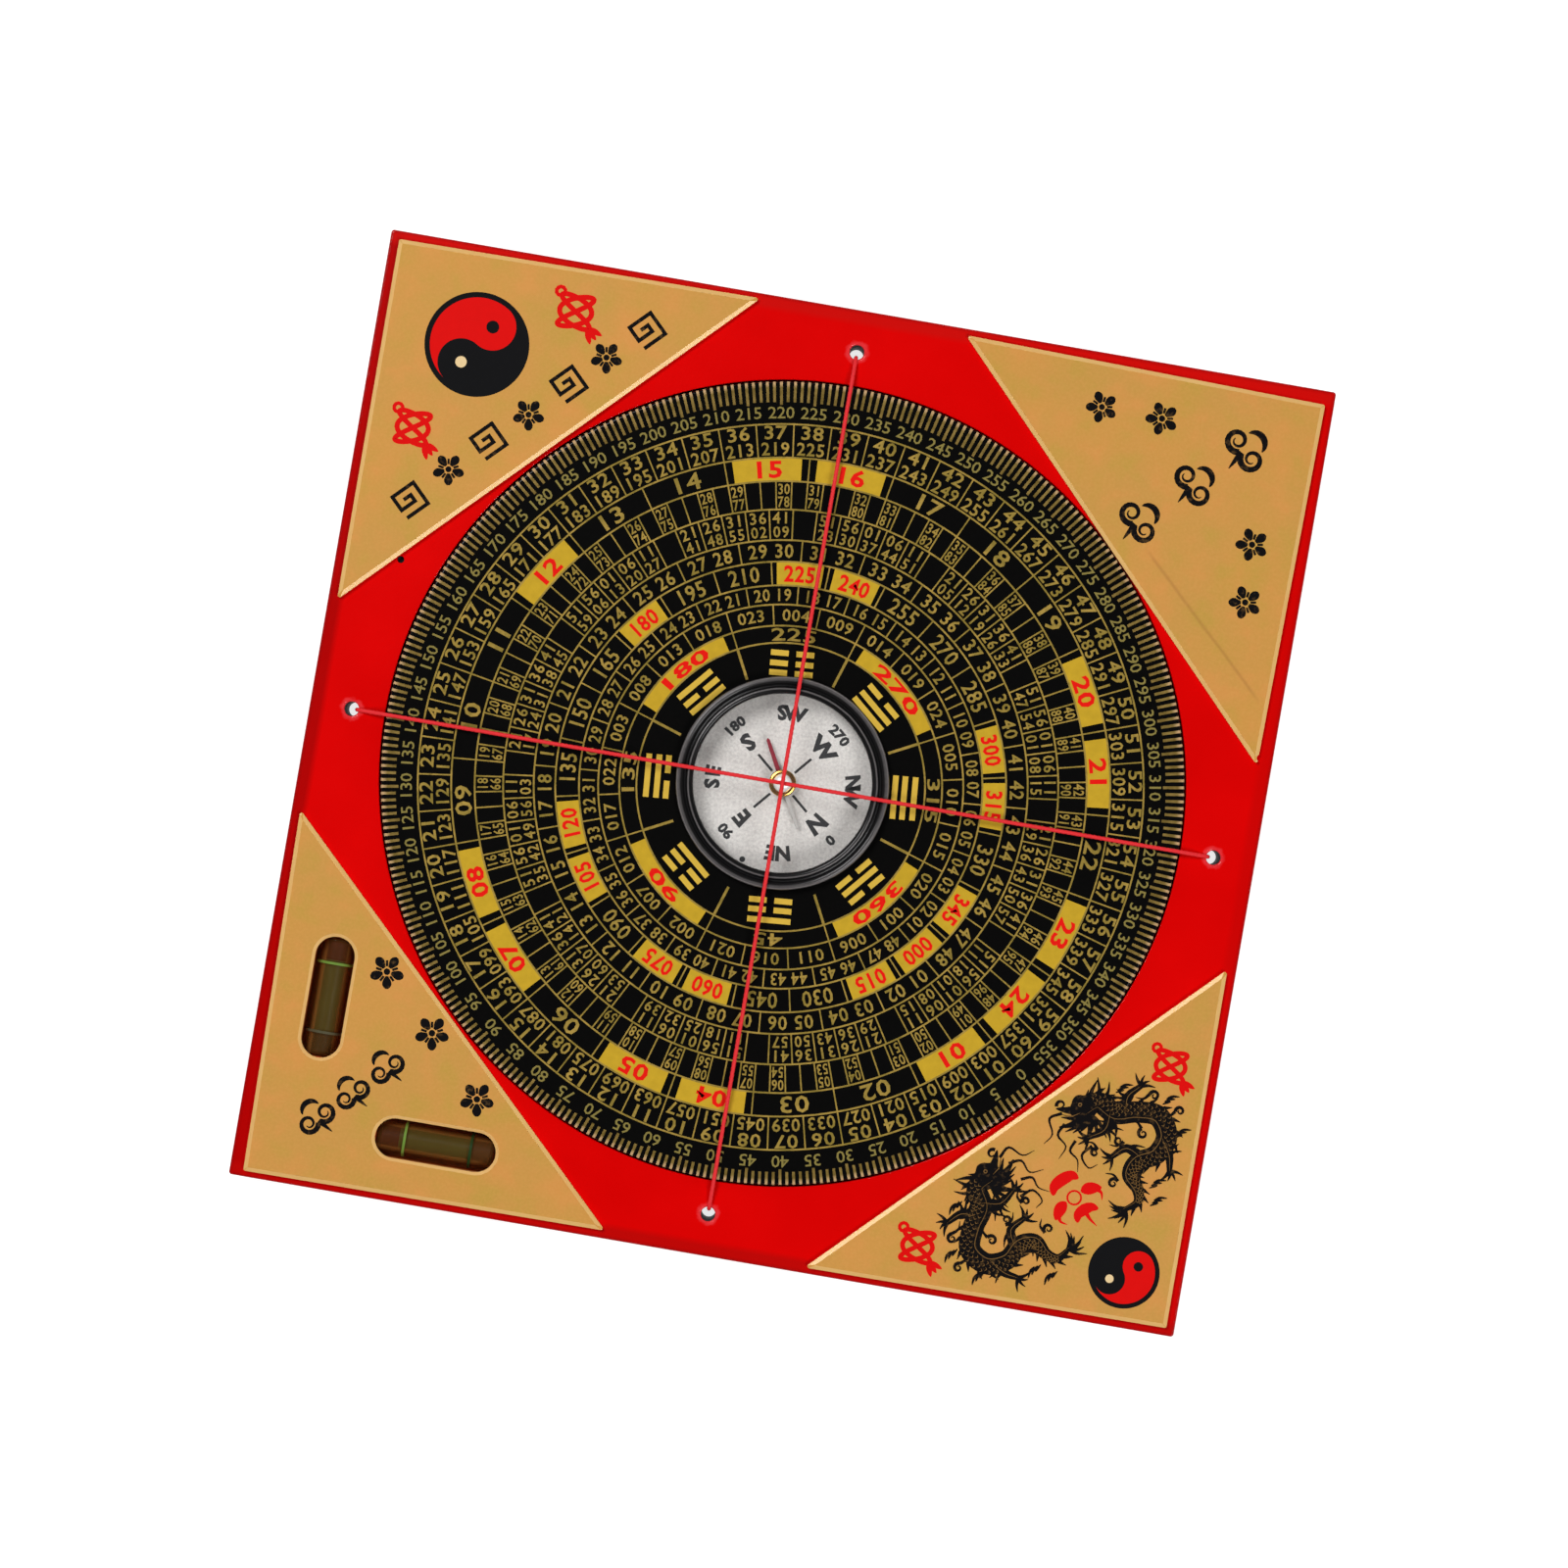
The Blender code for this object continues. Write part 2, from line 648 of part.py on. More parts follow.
# A stretched thread: from its knot under the board, up through a hole, over the dial's edge and the
# bezel, and the same way down again; one of the two passes over the other in the middle
def make_thread(name, turn_deg, lift):
    red = finish(name.replace("_", " ") + " red", (0.85, 0.06, 0.06), 0.6)
    half = thread_route(lift)
    route = [(-along, height) for along, height in reversed(half)] + half[1:]
    curve = bpy.data.curves.new(name, "CURVE")
    curve.dimensions = "3D"
    curve.bevel_depth = thread_radius
    curve.bevel_resolution = thread_facets // 2 - 2
    curve.use_fill_caps = True
    spline = curve.splines.new("POLY")
    spline.points.add(len(route) - 1)
    for point, (along, height) in zip(spline.points, route):
        point.co = (along, 0, height, 1)
    line = bpy.data.objects.new(f"{name}_line", curve)
    mesh = bpy.data.meshes.new_from_object(line)
    bpy.data.objects.remove(line)
    mesh.materials.append(red)
    mesh.shade_smooth()
    thread = bpy.data.objects.new(name, mesh)
    bpy.context.scene.collection.objects.link(thread)
    thread.rotation_euler = (0, 0, math.radians(turn_deg))
    for side in (-1, 1):
        knot = turned(f"{name}_knot_{side}", ball_profile(), knot_facets)
        hung_on(thread, moved(knot, side * knot_place, 0, knot_height))
        combine(thread, knot, "UNION")
    return thread


def ball_profile(steps=6):
    turns = [math.pi * step / steps for step in range(1, steps)]
    middle = [(knot_radius * math.sin(turn), -knot_radius * math.cos(turn)) for turn in turns]
    return [(0, -knot_radius)] + middle + [(0, knot_radius)]


# Half of a thread's route, from the middle to the knot, as (distance along, height)
def thread_route(lift):
    clear = seat_gap + thread_radius
    over_bezel = bezel_top + clear
    corners = [
        (0, over_bezel + lift), (bezel_radius, over_bezel), (dial_radius, dial_top + clear),
        (thread_hole_place - thread_hole_radius - thread_hole_chamfer, board_top + clear),
        (thread_drop_place, board_top), (thread_drop_place, knot_height), (knot_place, knot_height),
    ]
    return softened(corners, thread_bend)


# Each inner corner gives way to a short curve that starts and ends at the bend's length from it
def softened(corners, bend, steps=4):
    route = [corners[0]]
    for before, corner, after in zip(corners, corners[1:], corners[2:]):
        reach = min(bend, math.dist(before, corner) / 2, math.dist(corner, after) / 2)
        start = toward(corner, before, reach)
        end = toward(corner, after, reach)
        for step in range(steps + 1):
            share = step / steps
            route.append(tuple(
                (1 - share) ** 2 * a + 2 * share * (1 - share) * b + share ** 2 * c
                for a, b, c in zip(start, corner, end)
            ))
    route.append(corners[-1])
    return route


def toward(point, target, distance):
    share = distance / math.dist(point, target)
    return tuple(a + (b - a) * share for a, b in zip(point, target))


def make_part():
    clear_scene()
    dial_axis = axis_empty("dial_axis", dial_rest_turn_deg)
    needle_axis = axis_empty("needle_axis", needle_rest_turn_deg - dial_rest_turn_deg)
    hung_on(dial_axis, needle_axis)
    make_board()
    make_felt()
    make_corner_plates()
    make_vial("x", *vial_x_place(), along_y=False, ends=("left", "right"))
    make_vial("y", *vial_y_place(), along_y=True, ends=("front", "back"))
    make_dial(dial_axis)
    make_hub(dial_axis)
    make_screws(dial_axis)
    make_capsule(dial_axis)
    make_needle(needle_axis)
    make_thread("sight_thread_x", 0, 0)
    make_thread("sight_thread_y", 90, 2 * thread_radius + seat_gap)


make_part()
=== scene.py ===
# A feng shui compass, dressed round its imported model. Shapes are worked out in millimetres, with the
# board lying on Z = 0 and its back edge towards +Y; makePiece brings them to metres.
import math
import bmesh
import bpy
import numpy as np
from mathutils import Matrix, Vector


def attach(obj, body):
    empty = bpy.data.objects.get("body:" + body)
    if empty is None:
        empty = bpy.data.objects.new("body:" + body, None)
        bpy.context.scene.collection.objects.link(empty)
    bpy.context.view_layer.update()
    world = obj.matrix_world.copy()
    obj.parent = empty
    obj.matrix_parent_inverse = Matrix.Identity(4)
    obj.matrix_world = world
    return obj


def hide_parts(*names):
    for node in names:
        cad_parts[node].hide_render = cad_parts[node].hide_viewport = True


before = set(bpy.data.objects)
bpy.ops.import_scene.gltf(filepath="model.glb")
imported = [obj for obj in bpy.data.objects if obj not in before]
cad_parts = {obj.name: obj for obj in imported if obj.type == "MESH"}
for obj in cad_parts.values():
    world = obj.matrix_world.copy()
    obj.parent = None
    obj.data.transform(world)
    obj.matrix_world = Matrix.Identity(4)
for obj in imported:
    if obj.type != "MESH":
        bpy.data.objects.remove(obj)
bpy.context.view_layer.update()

scene = bpy.context.scene
scene.view_settings.view_transform = "Standard"
fullTurn = 2 * math.pi


view = {
    "place": (0.254, -0.082, 967.0),  # straight above the board's middle
    "turn": 9.81,  # degrees that the board lies turned in the picture
    "frameWidth": 245.28,  # what the picture shows across, at the board's top
    "topHeight": 12.0, "sensorWidth": 36, "farthest": 50,  # the last one in metres
}
light = {
    # how bright the sky is at some heights, from the horizon to overhead
    "sky": ((0.0, 0.8), (0.25, 0.55), (0.45, 0.2), (0.65, 0.03), (1.0, 0.01)),
    # name, place, size, power
    "lamps": (("key", (-560, 470, 1300), 560, 12.6), ("fill", (600, -480, 1200), 520, 8.4)),
}
# the floor, in metres: plain pale paper to the light, and to the camera greyer paper with a glow
ground = {"half": 3, "height": -0.00002, "paper": 232, "seenPaper": 190, "glow": 0.8}


# screen values from 0 to 255, made linear
def colour(red, green, blue):
    share = np.array([red, green, blue]) / 255
    linear = np.where(share <= 0.04045, share / 12.92, ((share + 0.055) / 1.055) ** 2.4)
    return (*(float(value) for value in linear), 1.0)


# A socket that writes the Math node of each operator used on it
class Wire:
    def __init__(self, maker, socket):
        self.maker = maker
        self.socket = socket

    def maths(self, operation, *values):
        return self.maker.node("Math", {"operation": operation}, dict(enumerate(values)))

    def __add__(self, other):
        return self.maths("ADD", self, other)

    def __radd__(self, other):
        return self.maths("ADD", other, self)

    def __sub__(self, other):
        return self.maths("SUBTRACT", self, other)

    def __rsub__(self, other):
        return self.maths("SUBTRACT", other, self)

    def __mul__(self, other):
        return self.maths("MULTIPLY", self, other)

    def __rmul__(self, other):
        return self.maths("MULTIPLY", other, self)

    def __abs__(self):
        return self.maths("ABSOLUTE", self)

    def larger(self, other):
        return self.maths("MAXIMUM", self, other)

    def smaller(self, other):
        return self.maths("MINIMUM", self, other)

    def root(self):
        return self.maths("SQRT", self)


# A material, or the world, and the nodes it is made of
class Finish:
    def __init__(self, name, fixed=None, owner=None):
        self.owner = owner or bpy.data.materials.new(name)
        self.owner.use_nodes = True
        self.tree = self.owner.node_tree
        self.tree.nodes.clear()
        if fixed is not None:
            self.shader = self.tree.nodes.new("ShaderNodeBsdfPrincipled")
            for socket, value in fixed.items():
                self.shader.inputs[socket].default_value = value
            self.output = self.tree.nodes.new("ShaderNodeOutputMaterial")
            self.tree.links.new(self.shader.outputs[0], self.output.inputs[0])
            self.place = self.node("TexCoord", output="Object")

    def node(self, kind, settings=None, inputs=None, output=0):
        made = self.tree.nodes.new("ShaderNode" + kind)
        for name, value in (settings or {}).items():
            if name == "stops":
                ramp = made.color_ramp.elements
                ramp.remove(ramp[1])
                for index, (place, shade) in enumerate(value):
                    stop = ramp.new(place) if index else ramp[0]
                    stop.color = shade
            else:
                setattr(made, name, value)
        for name, value in (inputs or {}).items():
            if isinstance(value, Wire):
                self.tree.links.new(value.socket, made.inputs[name])
            else:
                made.inputs[name].default_value = value
        return Wire(self, made.outputs[output])

    # the place along an axis, and the distance from the upright axis, in millimetres
    def along(self, axis):
        return self.node("SeparateXYZ", {}, {0: self.place}, axis) * 1000

    def reach(self):
        flat = self.node("VectorMath", {"operation": "MULTIPLY"}, {0: self.place, 1: (1000, 1000, 0)})
        return self.node("VectorMath", {"operation": "LENGTH"}, {0: flat}, "Value")

    def feed(self, socket, wire):
        self.tree.links.new(wire.socket, self.shader.inputs[socket])

    # speckle whose spots are about so many millimetres across, from 0 to 1 round a half
    def noise(self, size, detail, shift=(0, 0, 0)):
        spread = (1 / size * 1000,) * 3
        place = self.node("Mapping", {}, {"Vector": self.place, "Location": shift, "Scale": spread})
        return self.node("TexNoise", {}, {"Vector": place, "Scale": 1.0, "Detail": detail})

    # 0 up to low and 1 from high on, or the other way round where low is the larger
    def between(self, wire, low, high):
        ends = {"Value": wire, "From Min": low, "From Max": high}
        return self.node("MapRange", {"clamp": True}, ends)

    # from the first colour at a share of 0 to the second at 1
    def mix(self, share, first, second):
        return self.node("Mix", {"data_type": "RGBA"}, {0: share, 6: first, 7: second}, 2)

    # the same between two screen colours, and from what is there to a screen colour
    def tones(self, share, shades):
        return self.mix(share, *(colour(*shade) for shade in shades))

    def over(self, share, under, shade):
        return self.mix(share, under, colour(*shade))

    def bump(self, height, depth):
        inputs = {"Height": height, "Distance": depth * 0.001}
        self.feed("Normal", self.node("Bump", {}, inputs))


def makeCamera():
    data = bpy.data.cameras.new("camera")
    data.sensor_width = view["sensorWidth"]
    data.lens = view["sensorWidth"] * (view["place"][2] - view["topHeight"]) / view["frameWidth"]
    data.clip_end = view["farthest"]
    camera = bpy.data.objects.new("camera", data)
    camera.location = Vector(view["place"]) / 1000
    camera.rotation_euler = (0, 0, math.radians(view["turn"]))
    scene.collection.objects.link(camera)
    scene.camera = camera


def makeLamp(name, place, size, power):
    data = bpy.data.lights.new(name, "AREA")
    data.size = size / 1000
    data.energy = power
    lamp = bpy.data.objects.new(name, data)
    lamp.location = Vector(place) / 1000
    lamp.rotation_euler = (-Vector(place)).to_track_quat("-Z", "Y").to_euler()
    scene.collection.objects.link(lamp)


# The sky is white at the horizon and dark overhead, so that the lacquer keeps its deep red
def makeSky():
    world = bpy.data.worlds.new("studio")
    scene.world = world
    sky = Finish("studio", owner=world)
    direction = sky.node("TexCoord", output="Generated")
    height = sky.node("SeparateXYZ", {}, {0: direction}, "Z")
    stops = [(place, (level, level, level, 1.0)) for place, level in light["sky"]]
    shade = sky.node("ValToRGB", {"stops": stops}, {0: height})
    back = sky.node("Background", {}, {"Color": shade, "Strength": 1.0})
    output = sky.tree.nodes.new("ShaderNodeOutputWorld")
    sky.tree.links.new(back.socket, output.inputs[0])


def makeFloor():
    mesh = bpy.data.meshes.new("floor")
    half, height = ground["half"], ground["height"]
    corners = [(x * half, y * half, height) for x, y in ((-1, -1), (1, -1), (1, 1), (-1, 1))]
    mesh.from_pydata(corners, [], [(0, 1, 2, 3)])
    floor = bpy.data.objects.new("floor", mesh)
    scene.collection.objects.link(floor)
    fixed = {"Specular IOR Level": 0.0, "Roughness": 1.0, "Emission Strength": 1.0}
    paper = Finish("pale floor", fixed)
    kinds = ("Camera", "Glossy", "Transmission")
    camera, glossy, through = (paper.node("LightPath", output=f"Is {kind} Ray") for kind in kinds)
    seen = paper.between(camera + glossy + through, 0.0, 1.0)
    greys = [[ground[name]] * 3 for name in ("paper", "seenPaper")]
    paper.feed("Base Color", paper.tones(seen, greys))
    paper.feed("Emission Color", paper.mix(seen, (0, 0, 0, 1), (*[ground["glow"]] * 3, 1)))
    mesh.materials.append(paper.owner)


makeCamera()
makeSky()
for lamp in light["lamps"]:
    makeLamp(*lamp)
makeFloor()
print("camera, sky, lamps and floor are set")

# Below are the ways of making a shape. A shape is its points and its groups of faces, and the faces of
# a group have equally many corners.


# quads between the neighbours in a grid of points that is numbered row by row; each row is a loop
def gridFaces(rows, columns, wrapRows=False):
    row = np.arange(rows if wrapRows else rows - 1)[:, None]
    column = np.arange(columns)[None, :]
    nextRow, nextColumn = (row + 1) % rows, (column + 1) % columns
    corners = [
        row * columns + column, row * columns + nextColumn,
        nextRow * columns + nextColumn, nextRow * columns + column,
    ]
    return np.stack(np.broadcast_arrays(*corners), -1).reshape(-1, 4)


# several shapes as one: each one's faces count on from the points before it
def joined(*shapes):
    points, faces, first = [], [], 0
    for shapePoints, shapeFaces in shapes:
        points.append(shapePoints)
        faces += [group + first for group in shapeFaces]
        first += len(shapePoints)
    return np.concatenate(points), faces


# the faces of one shape for each of its copies, which have count points each
def copied(faces, copies, count):
    return (faces[None] + (np.arange(copies) * count)[:, None, None]).reshape(-1, faces.shape[1])


# each (radius, height) of a profile carried round Z: x = radius cos t, y = radius sin t; the solid
# lies on the left of the profile
def lathed(profile, segments, meets=True):
    profile = np.array(profile, float)
    turn = np.linspace(0, fullTurn, segments, endpoint=False)
    radius, height = profile[:, :1], profile[:, 1:]
    points = np.stack([radius * np.cos(turn), radius * np.sin(turn), height + 0 * turn], -1)
    return points.reshape(-1, 3), [gridFaces(len(profile), segments, wrapRows=meets)]


# rings of equally many points, one after the other, closed into a loop or with a face at each end
def stacked(rings, meets=False):
    rings = np.asarray(rings, float)
    count, around = rings.shape[:2]
    faces = [gridFaces(count, around, wrapRows=meets)]
    if not meets:
        ends = np.arange(around)
        faces.append(np.stack([ends[::-1], ends + (count - 1) * around]))
    return rings.reshape(-1, 3), faces


# (x, y) with one height for all
def atHeight(outline, height):
    outline = np.asarray(outline, float)
    return np.concatenate([outline, np.full((*outline.shape[:-1], 1), float(height))], -1)


# an outline carried straight up from bottom to top
def slab(outline, bottom, top):
    return stacked([atHeight(outline, bottom), atHeight(outline, top)])


# a rectangle carried along each path: half its width to the left and right, from under to over
# along up
def bars(paths, left, up, half, under, over, meets=False):
    half = np.broadcast_to(half, paths.shape[:2])[..., None]
    corners = np.stack([
        paths + left * half + up * over, paths - left * half + up * over,
        paths - left * half + up * under, paths + left * half + up * under,
    ], 2)
    copies, length = paths.shape[:2]
    faces = [copied(gridFaces(length, 4, wrapRows=meets), copies, length * 4)]
    if not meets:
        ends = np.array([[3, 2, 1, 0], np.arange(4) + (length - 1) * 4])
        faces.append(copied(ends, copies, length * 4))
    return corners.reshape(-1, 3), faces


# bars on flat paths: left is the sum of both neighbours' normals over 1 plus their product, so that
# the width is kept round a corner
def ribbons(paths, half, bottom, top, meets=False):
    paths = np.asarray(paths, float)
    following = np.roll(paths, -1, 1) - paths
    if not meets:
        following[:, -1] = following[:, -2]
    following /= np.linalg.norm(following, axis=-1, keepdims=True)
    before = np.roll(following, 1, 1)
    if not meets:
        before[:, 0] = following[:, 0]
    normals = [np.stack([-way[..., 1], way[..., 0]], -1) for way in (before, following)]
    along = (normals[0] * normals[1]).sum(-1, keepdims=True)
    left = atHeight((normals[0] + normals[1]) / (1 + np.maximum(along, -0.6)), 0)
    return bars(atHeight(paths, 0), left, np.array([0, 0, 1.0]), half, bottom, top, meets)


# turned round Z: x cos t - y sin t, x sin t + y cos t
def turnedBy(shape, degrees):
    points, faces = shape
    angle = math.radians(degrees)
    turn = np.array([
        [math.cos(angle), -math.sin(angle), 0], [math.sin(angle), math.cos(angle), 0], [0, 0, 1],
    ])
    return points @ turn.T, faces


def movedBy(shape, x, y, z=0.0):
    return shape[0] + np.array([x, y, z]), shape[1]


# a rounded square as points that keep their order at every size: each side's points lie at equal polar
# angles, and each corner is an arc
def roundedSquare(half, radius, sideSteps=60, cornerSteps=8):
    flat = half - radius
    reach = flat * np.tan(np.linspace(-math.pi / 4, math.pi / 4, sideSteps))
    side = np.stack([np.full(sideSteps, half), reach], -1)
    turn = np.linspace(0, math.pi / 2, cornerSteps + 2)[1:-1]
    corner = flat + radius * np.stack([np.cos(turn), np.sin(turn)], -1)
    quarter = np.concatenate([side, corner])
    turns = [quarter]
    for _ in range(3):
        turns.append(np.stack([-turns[-1][:, 1], turns[-1][:, 0]], -1))
    return np.concatenate(turns)


# a polygon's corners, taken anticlockwise, drawn in by inset and rounded: each arc's centre lies where
# both its sides, moved inwards by inset and bend, meet
def roundedCorners(corners, radius, inset=0.0, steps=6, sharpest=0.05):
    corners = np.asarray(corners, float)
    bend = max(radius - inset, sharpest)
    reach = inset + bend
    outline = []
    for index, corner in enumerate(corners):
        arrive = corner - corners[index - 1]
        leave = corners[(index + 1) % len(corners)] - corner
        arrive, leave = arrive / np.linalg.norm(arrive), leave / np.linalg.norm(leave)
        turn = math.acos(float(np.clip(arrive @ leave, -1, 1)))
        inward = np.array([-arrive[1], arrive[0]])
        centre = corner + inward * reach - arrive * reach * math.tan(turn / 2)
        first = math.atan2(-inward[1], -inward[0])
        angle = first + np.linspace(0, turn, steps + 1)
        outline.append(centre + bend * np.stack([np.cos(angle), np.sin(angle)], -1))
    return np.concatenate(outline)


# two half circles, one at each end of the length
def stadium(length, width, steps=24):
    reach = (length - width) / 2
    angle = np.linspace(-math.pi / 2, math.pi / 2, steps + 1)
    end = width / 2 * np.stack([np.cos(angle), np.sin(angle)], -1) + (reach, 0)
    return np.concatenate([end, -end])


def plainMesh(name, shape, weld=False):
    points, faces = shape
    mesh = bpy.data.meshes.new(name)
    loops = [face for group in faces for face in group.tolist()]
    mesh.from_pydata((points * 0.001).tolist(), [], loops)
    if weld:
        work = bmesh.new()
        work.from_mesh(mesh)
        bmesh.ops.remove_doubles(work, verts=work.verts, dist=2e-7)
        work.to_mesh(mesh)
        work.free()
    return mesh


# a modifier's result is kept as the piece's own mesh
def applied(piece, kind, settings):
    modifier = piece.modifiers.new("made", kind)
    for name, value in settings.items():
        setattr(modifier, name, value)
    graph = bpy.context.evaluated_depsgraph_get()
    result = bpy.data.meshes.new_from_object(
        piece.evaluated_get(graph), preserve_all_data_layers=True, depsgraph=graph,
    )
    piece.modifiers.clear()
    before, piece.data = piece.data, result
    result.name = piece.name
    bpy.data.meshes.remove(before)


# smooth between its sharp edges, while its broad faces stay flat
def shaded(piece, sharpAngle):
    piece.data.shade_smooth()
    piece.data.set_sharp_from_angle(angle=math.radians(sharpAngle))
    applied(piece, "WEIGHTED_NORMAL", {"keep_sharp": True, "weight": 100})


def makePiece(name, shape, finish, body, replaced=(), sharpAngle=32, weld=False, drilled=False):
    mesh = plainMesh(name, shape, weld)
    mesh.materials.append(finish)
    piece = bpy.data.objects.new(name, mesh)
    scene.collection.objects.link(piece)
    if not drilled:
        shaded(piece, sharpAngle)
    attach(piece, body)
    if replaced:
        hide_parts(*replaced)
    return piece


# a closed shape is cut out of a piece
def cutOut(piece, shape):
    tool = bpy.data.objects.new("tool", plainMesh("tool", shape, True))
    scene.collection.objects.link(tool)
    applied(piece, "BOOLEAN", {"operation": "DIFFERENCE", "solver": "EXACT", "object": tool})
    bpy.data.objects.remove(tool)


board = {
    "half": 75.0, "cornerRadius": 0.5, "edgeRound": 0.35, "bottom": 1.3, "top": 12.0,
    "recessRadius": 63.1, "recessRound": 0.2, "recessFloor": 7.5, "boreRadius": 22.3,
    "counterboreRadius": 27.1, "ledgeBottom": 4.3, "drillFloor": 0.5,
    "holePlace": 68.4, "holeRadius": 1.12, "holeFlare": 0.3, "holeSegments": 48,
    "pinhole": (-64.79, 24.3), "pinholeRadius": 0.55, "pinholeDepth": 1.0,
    "grooveHalfWidth": 0.6, "knotPlace": 63.8, "grooveRoof": 2.75, "knotPocket": (1.15, 3.3),
}


# one colour with a speckle that darkens it, and a fine bump where a depth is given
def plainFinish(
    name, shade, roughness, metallic=0.0, speckle=0.06, size=0.6, depth=0.0, gloss=0.3, coat=0.0,
):
    fixed = {
        "Roughness": roughness, "Metallic": metallic, "Specular IOR Level": gloss,
        "Coat Weight": coat, "Coat Roughness": 0.12,
    }
    finish = Finish(name, fixed)
    darker = tuple(value * (1 - 2 * speckle) for value in shade[:3]) + (1,)
    finish.feed("Base Color", finish.mix(finish.noise(size, 4), darker, shade))
    if depth:
        finish.bump(finish.noise(size, 3), depth)
    return finish.owner


lacquer = {
    "reds": ((219, 0, 0), (229, 0, 0)), "fleck": (204, 0, 0), "worn": (255, 96, 104),
    # painted shade: the top's strip outside the plates is darker by side: right, left, back and front,
    # then the very edge
    "borderShade": ((208, 2, 1), (172, 1, 1), (208, 14, 10), (190, 6, 4)), "borderPlace": (72.4, 73.4),
    "edge": (140, 6, 6), "edgePlace": (74.3, 74.9), "topPlace": (11.3, 11.7),
    "wornPlace": (1.95, 1.45),  # how far from a thread hole's middle the worn halo ends
}


def lacquerFinish():
    fixed = {"Specular IOR Level": 0.03, "Coat Weight": 0.35, "Coat Roughness": 0.05}
    finish = Finish("red lacquer", fixed)
    cloud = finish.noise(14, 3)
    fine = finish.noise(0.35, 3, (3, 1, 0))
    red = finish.tones(finish.between(cloud, 0.3, 0.7), lacquer["reds"])
    red = finish.over(finish.between(fine, 0.62, 0.8) * 0.3, red, lacquer["fleck"])
    x, y = finish.along("X"), finish.along("Y")
    wave = 0.5 * (cloud - 0.5)
    above = finish.between(finish.along("Z"), *lacquer["topPlace"])
    # painted shade: the strip outside the plates on each side is darkened by its own amount
    for place, shade in zip((x, -1 * x, y, -1 * y), lacquer["borderShade"]):
        borderShade = finish.between(place + wave, *lacquer["borderPlace"]) * 0.85 * above
        red = finish.over(borderShade, red, shade)
    x, y = abs(x), abs(y)
    # painted shade: the very edge, over its rounding, is darker still
    edge = finish.between(x.larger(y), *lacquer["edgePlace"]) * above
    red = finish.over(edge * 0.5, red, lacquer["edge"])
    near, side = x.larger(y) - board["holePlace"], x.smaller(y)
    away = (near * near + side * side).root()
    ragged = 1.1 * (finish.noise(0.9, 3, (0, 7, 0)) - 0.5)
    worn = finish.between(away + ragged, *lacquer["wornPlace"])
    finish.feed("Base Color", finish.over(worn * 0.27, red, lacquer["worn"]))
    finish.feed("Roughness", 0.26 + 0.12 * cloud + 0.3 * worn)
    finish.bump(finish.noise(2.4, 2) + 0.3 * fine - 0.5 * worn, 0.02)
    return finish.owner


goldPlate = {
    "golds": ((211, 152, 74), (205, 152, 75)), "green": (192, 156, 66), "orange": (224, 150, 80),
    # the bevel's colour is a painted highlight along the plates' cut edges
    "grain": (226, 168, 92), "bevel": (240, 194, 124),
    # a dull scratch runs down the back right plate, slanting as x + y stays near a sum; it fades in
    # and out between the four places along x
    "scratch": (150, 96, 50), "scratchSum": 96.0, "scratchLean": 0.024, "scratchMiddle": 25.0,
    "scratchSpan": (49.5, 51.5, 69.5, 71.5),
}


def goldPlateFinish():
    fixed = {"Specular IOR Level": 0.08, "Metallic": 0.06, "Coat Weight": 0.3, "Coat Roughness": 0.1}
    finish = Finish("satin gold plate", fixed)
    cloud = finish.noise(15, 3)
    patch = finish.noise(5.5, 4, (5, 2, 0))
    grain = finish.noise(0.45, 3)
    gold = finish.tones(finish.between(cloud, 0.36, 0.64), goldPlate["golds"])
    gold = finish.over(finish.between(patch, 0.5, 0.68) * 0.6, gold, goldPlate["green"])
    gold = finish.over(finish.between(patch, 0.46, 0.32) * 0.5, gold, goldPlate["orange"])
    gold = finish.over(finish.between(grain, 0.4, 0.8) * 0.3, gold, goldPlate["grain"])
    x, y = finish.along("X"), finish.along("Y")
    wave = 0.5 * (finish.noise(6, 2) - 0.5)
    lean = goldPlate["scratchLean"] * (x - y - goldPlate["scratchMiddle"])
    off = abs(x + y - goldPlate["scratchSum"] - lean + wave)
    first, second, third, fourth = goldPlate["scratchSpan"]
    span = finish.between(x, first, second) * finish.between(x, fourth, third)
    scratch = finish.between(off, 0.55, 0.1) * span * 0.3
    gold = finish.over(scratch, gold, goldPlate["scratch"])
    # painted highlight: faces that tilt away from upright, the bevels, are coloured paler
    facing = finish.node("SeparateXYZ", {}, {0: finish.node("NewGeometry", output="Normal")}, "Z")
    edge = finish.between(facing, 0.97, 0.93)
    gold = finish.over(edge * (0.5 + 0.5 * patch), gold, goldPlate["bevel"])
    finish.feed("Base Color", gold)
    finish.feed("Roughness", 0.4 + 0.14 * grain - 0.1 * edge)
    finish.bump(grain, 0.012)
    return finish.owner


# the two tones that a finish is mixed of, and what lies over them: worn spots, and painted highlights
# along an edge
mixedShades = {
    "goldPrint": ((140, 120, 52), (176, 146, 70)), "goldPrintWorn": (104, 92, 38),
    "tick": ((112, 92, 42), (142, 118, 62)), "tickRimHighlight": (212, 174, 128),
    "dial": ((2, 2, 2), (7, 6, 5)), "card": ((212, 208, 204), (240, 237, 232)),
    "bezel": ((8, 8, 9), (20, 19, 20)), "bezelHighlight": (132, 127, 127),
    "ink": ((14, 12, 14), (112, 84, 48)),
}


# gold print in two tones, with duller worn spots
def goldPrintFinish():
    finish = Finish("gold print", {"Specular IOR Level": 0.05, "Metallic": 0.05})
    cloud = finish.between(finish.noise(3.2, 3), 0.35, 0.65)
    gold = finish.tones(cloud, mixedShades["goldPrint"])
    wear = finish.between(finish.noise(0.55, 3), 0.5, 0.72)
    finish.feed("Base Color", finish.over(wear * 0.55, gold, mixedShades["goldPrintWorn"]))
    finish.feed("Roughness", 0.38 + 0.2 * wear)
    return finish.owner
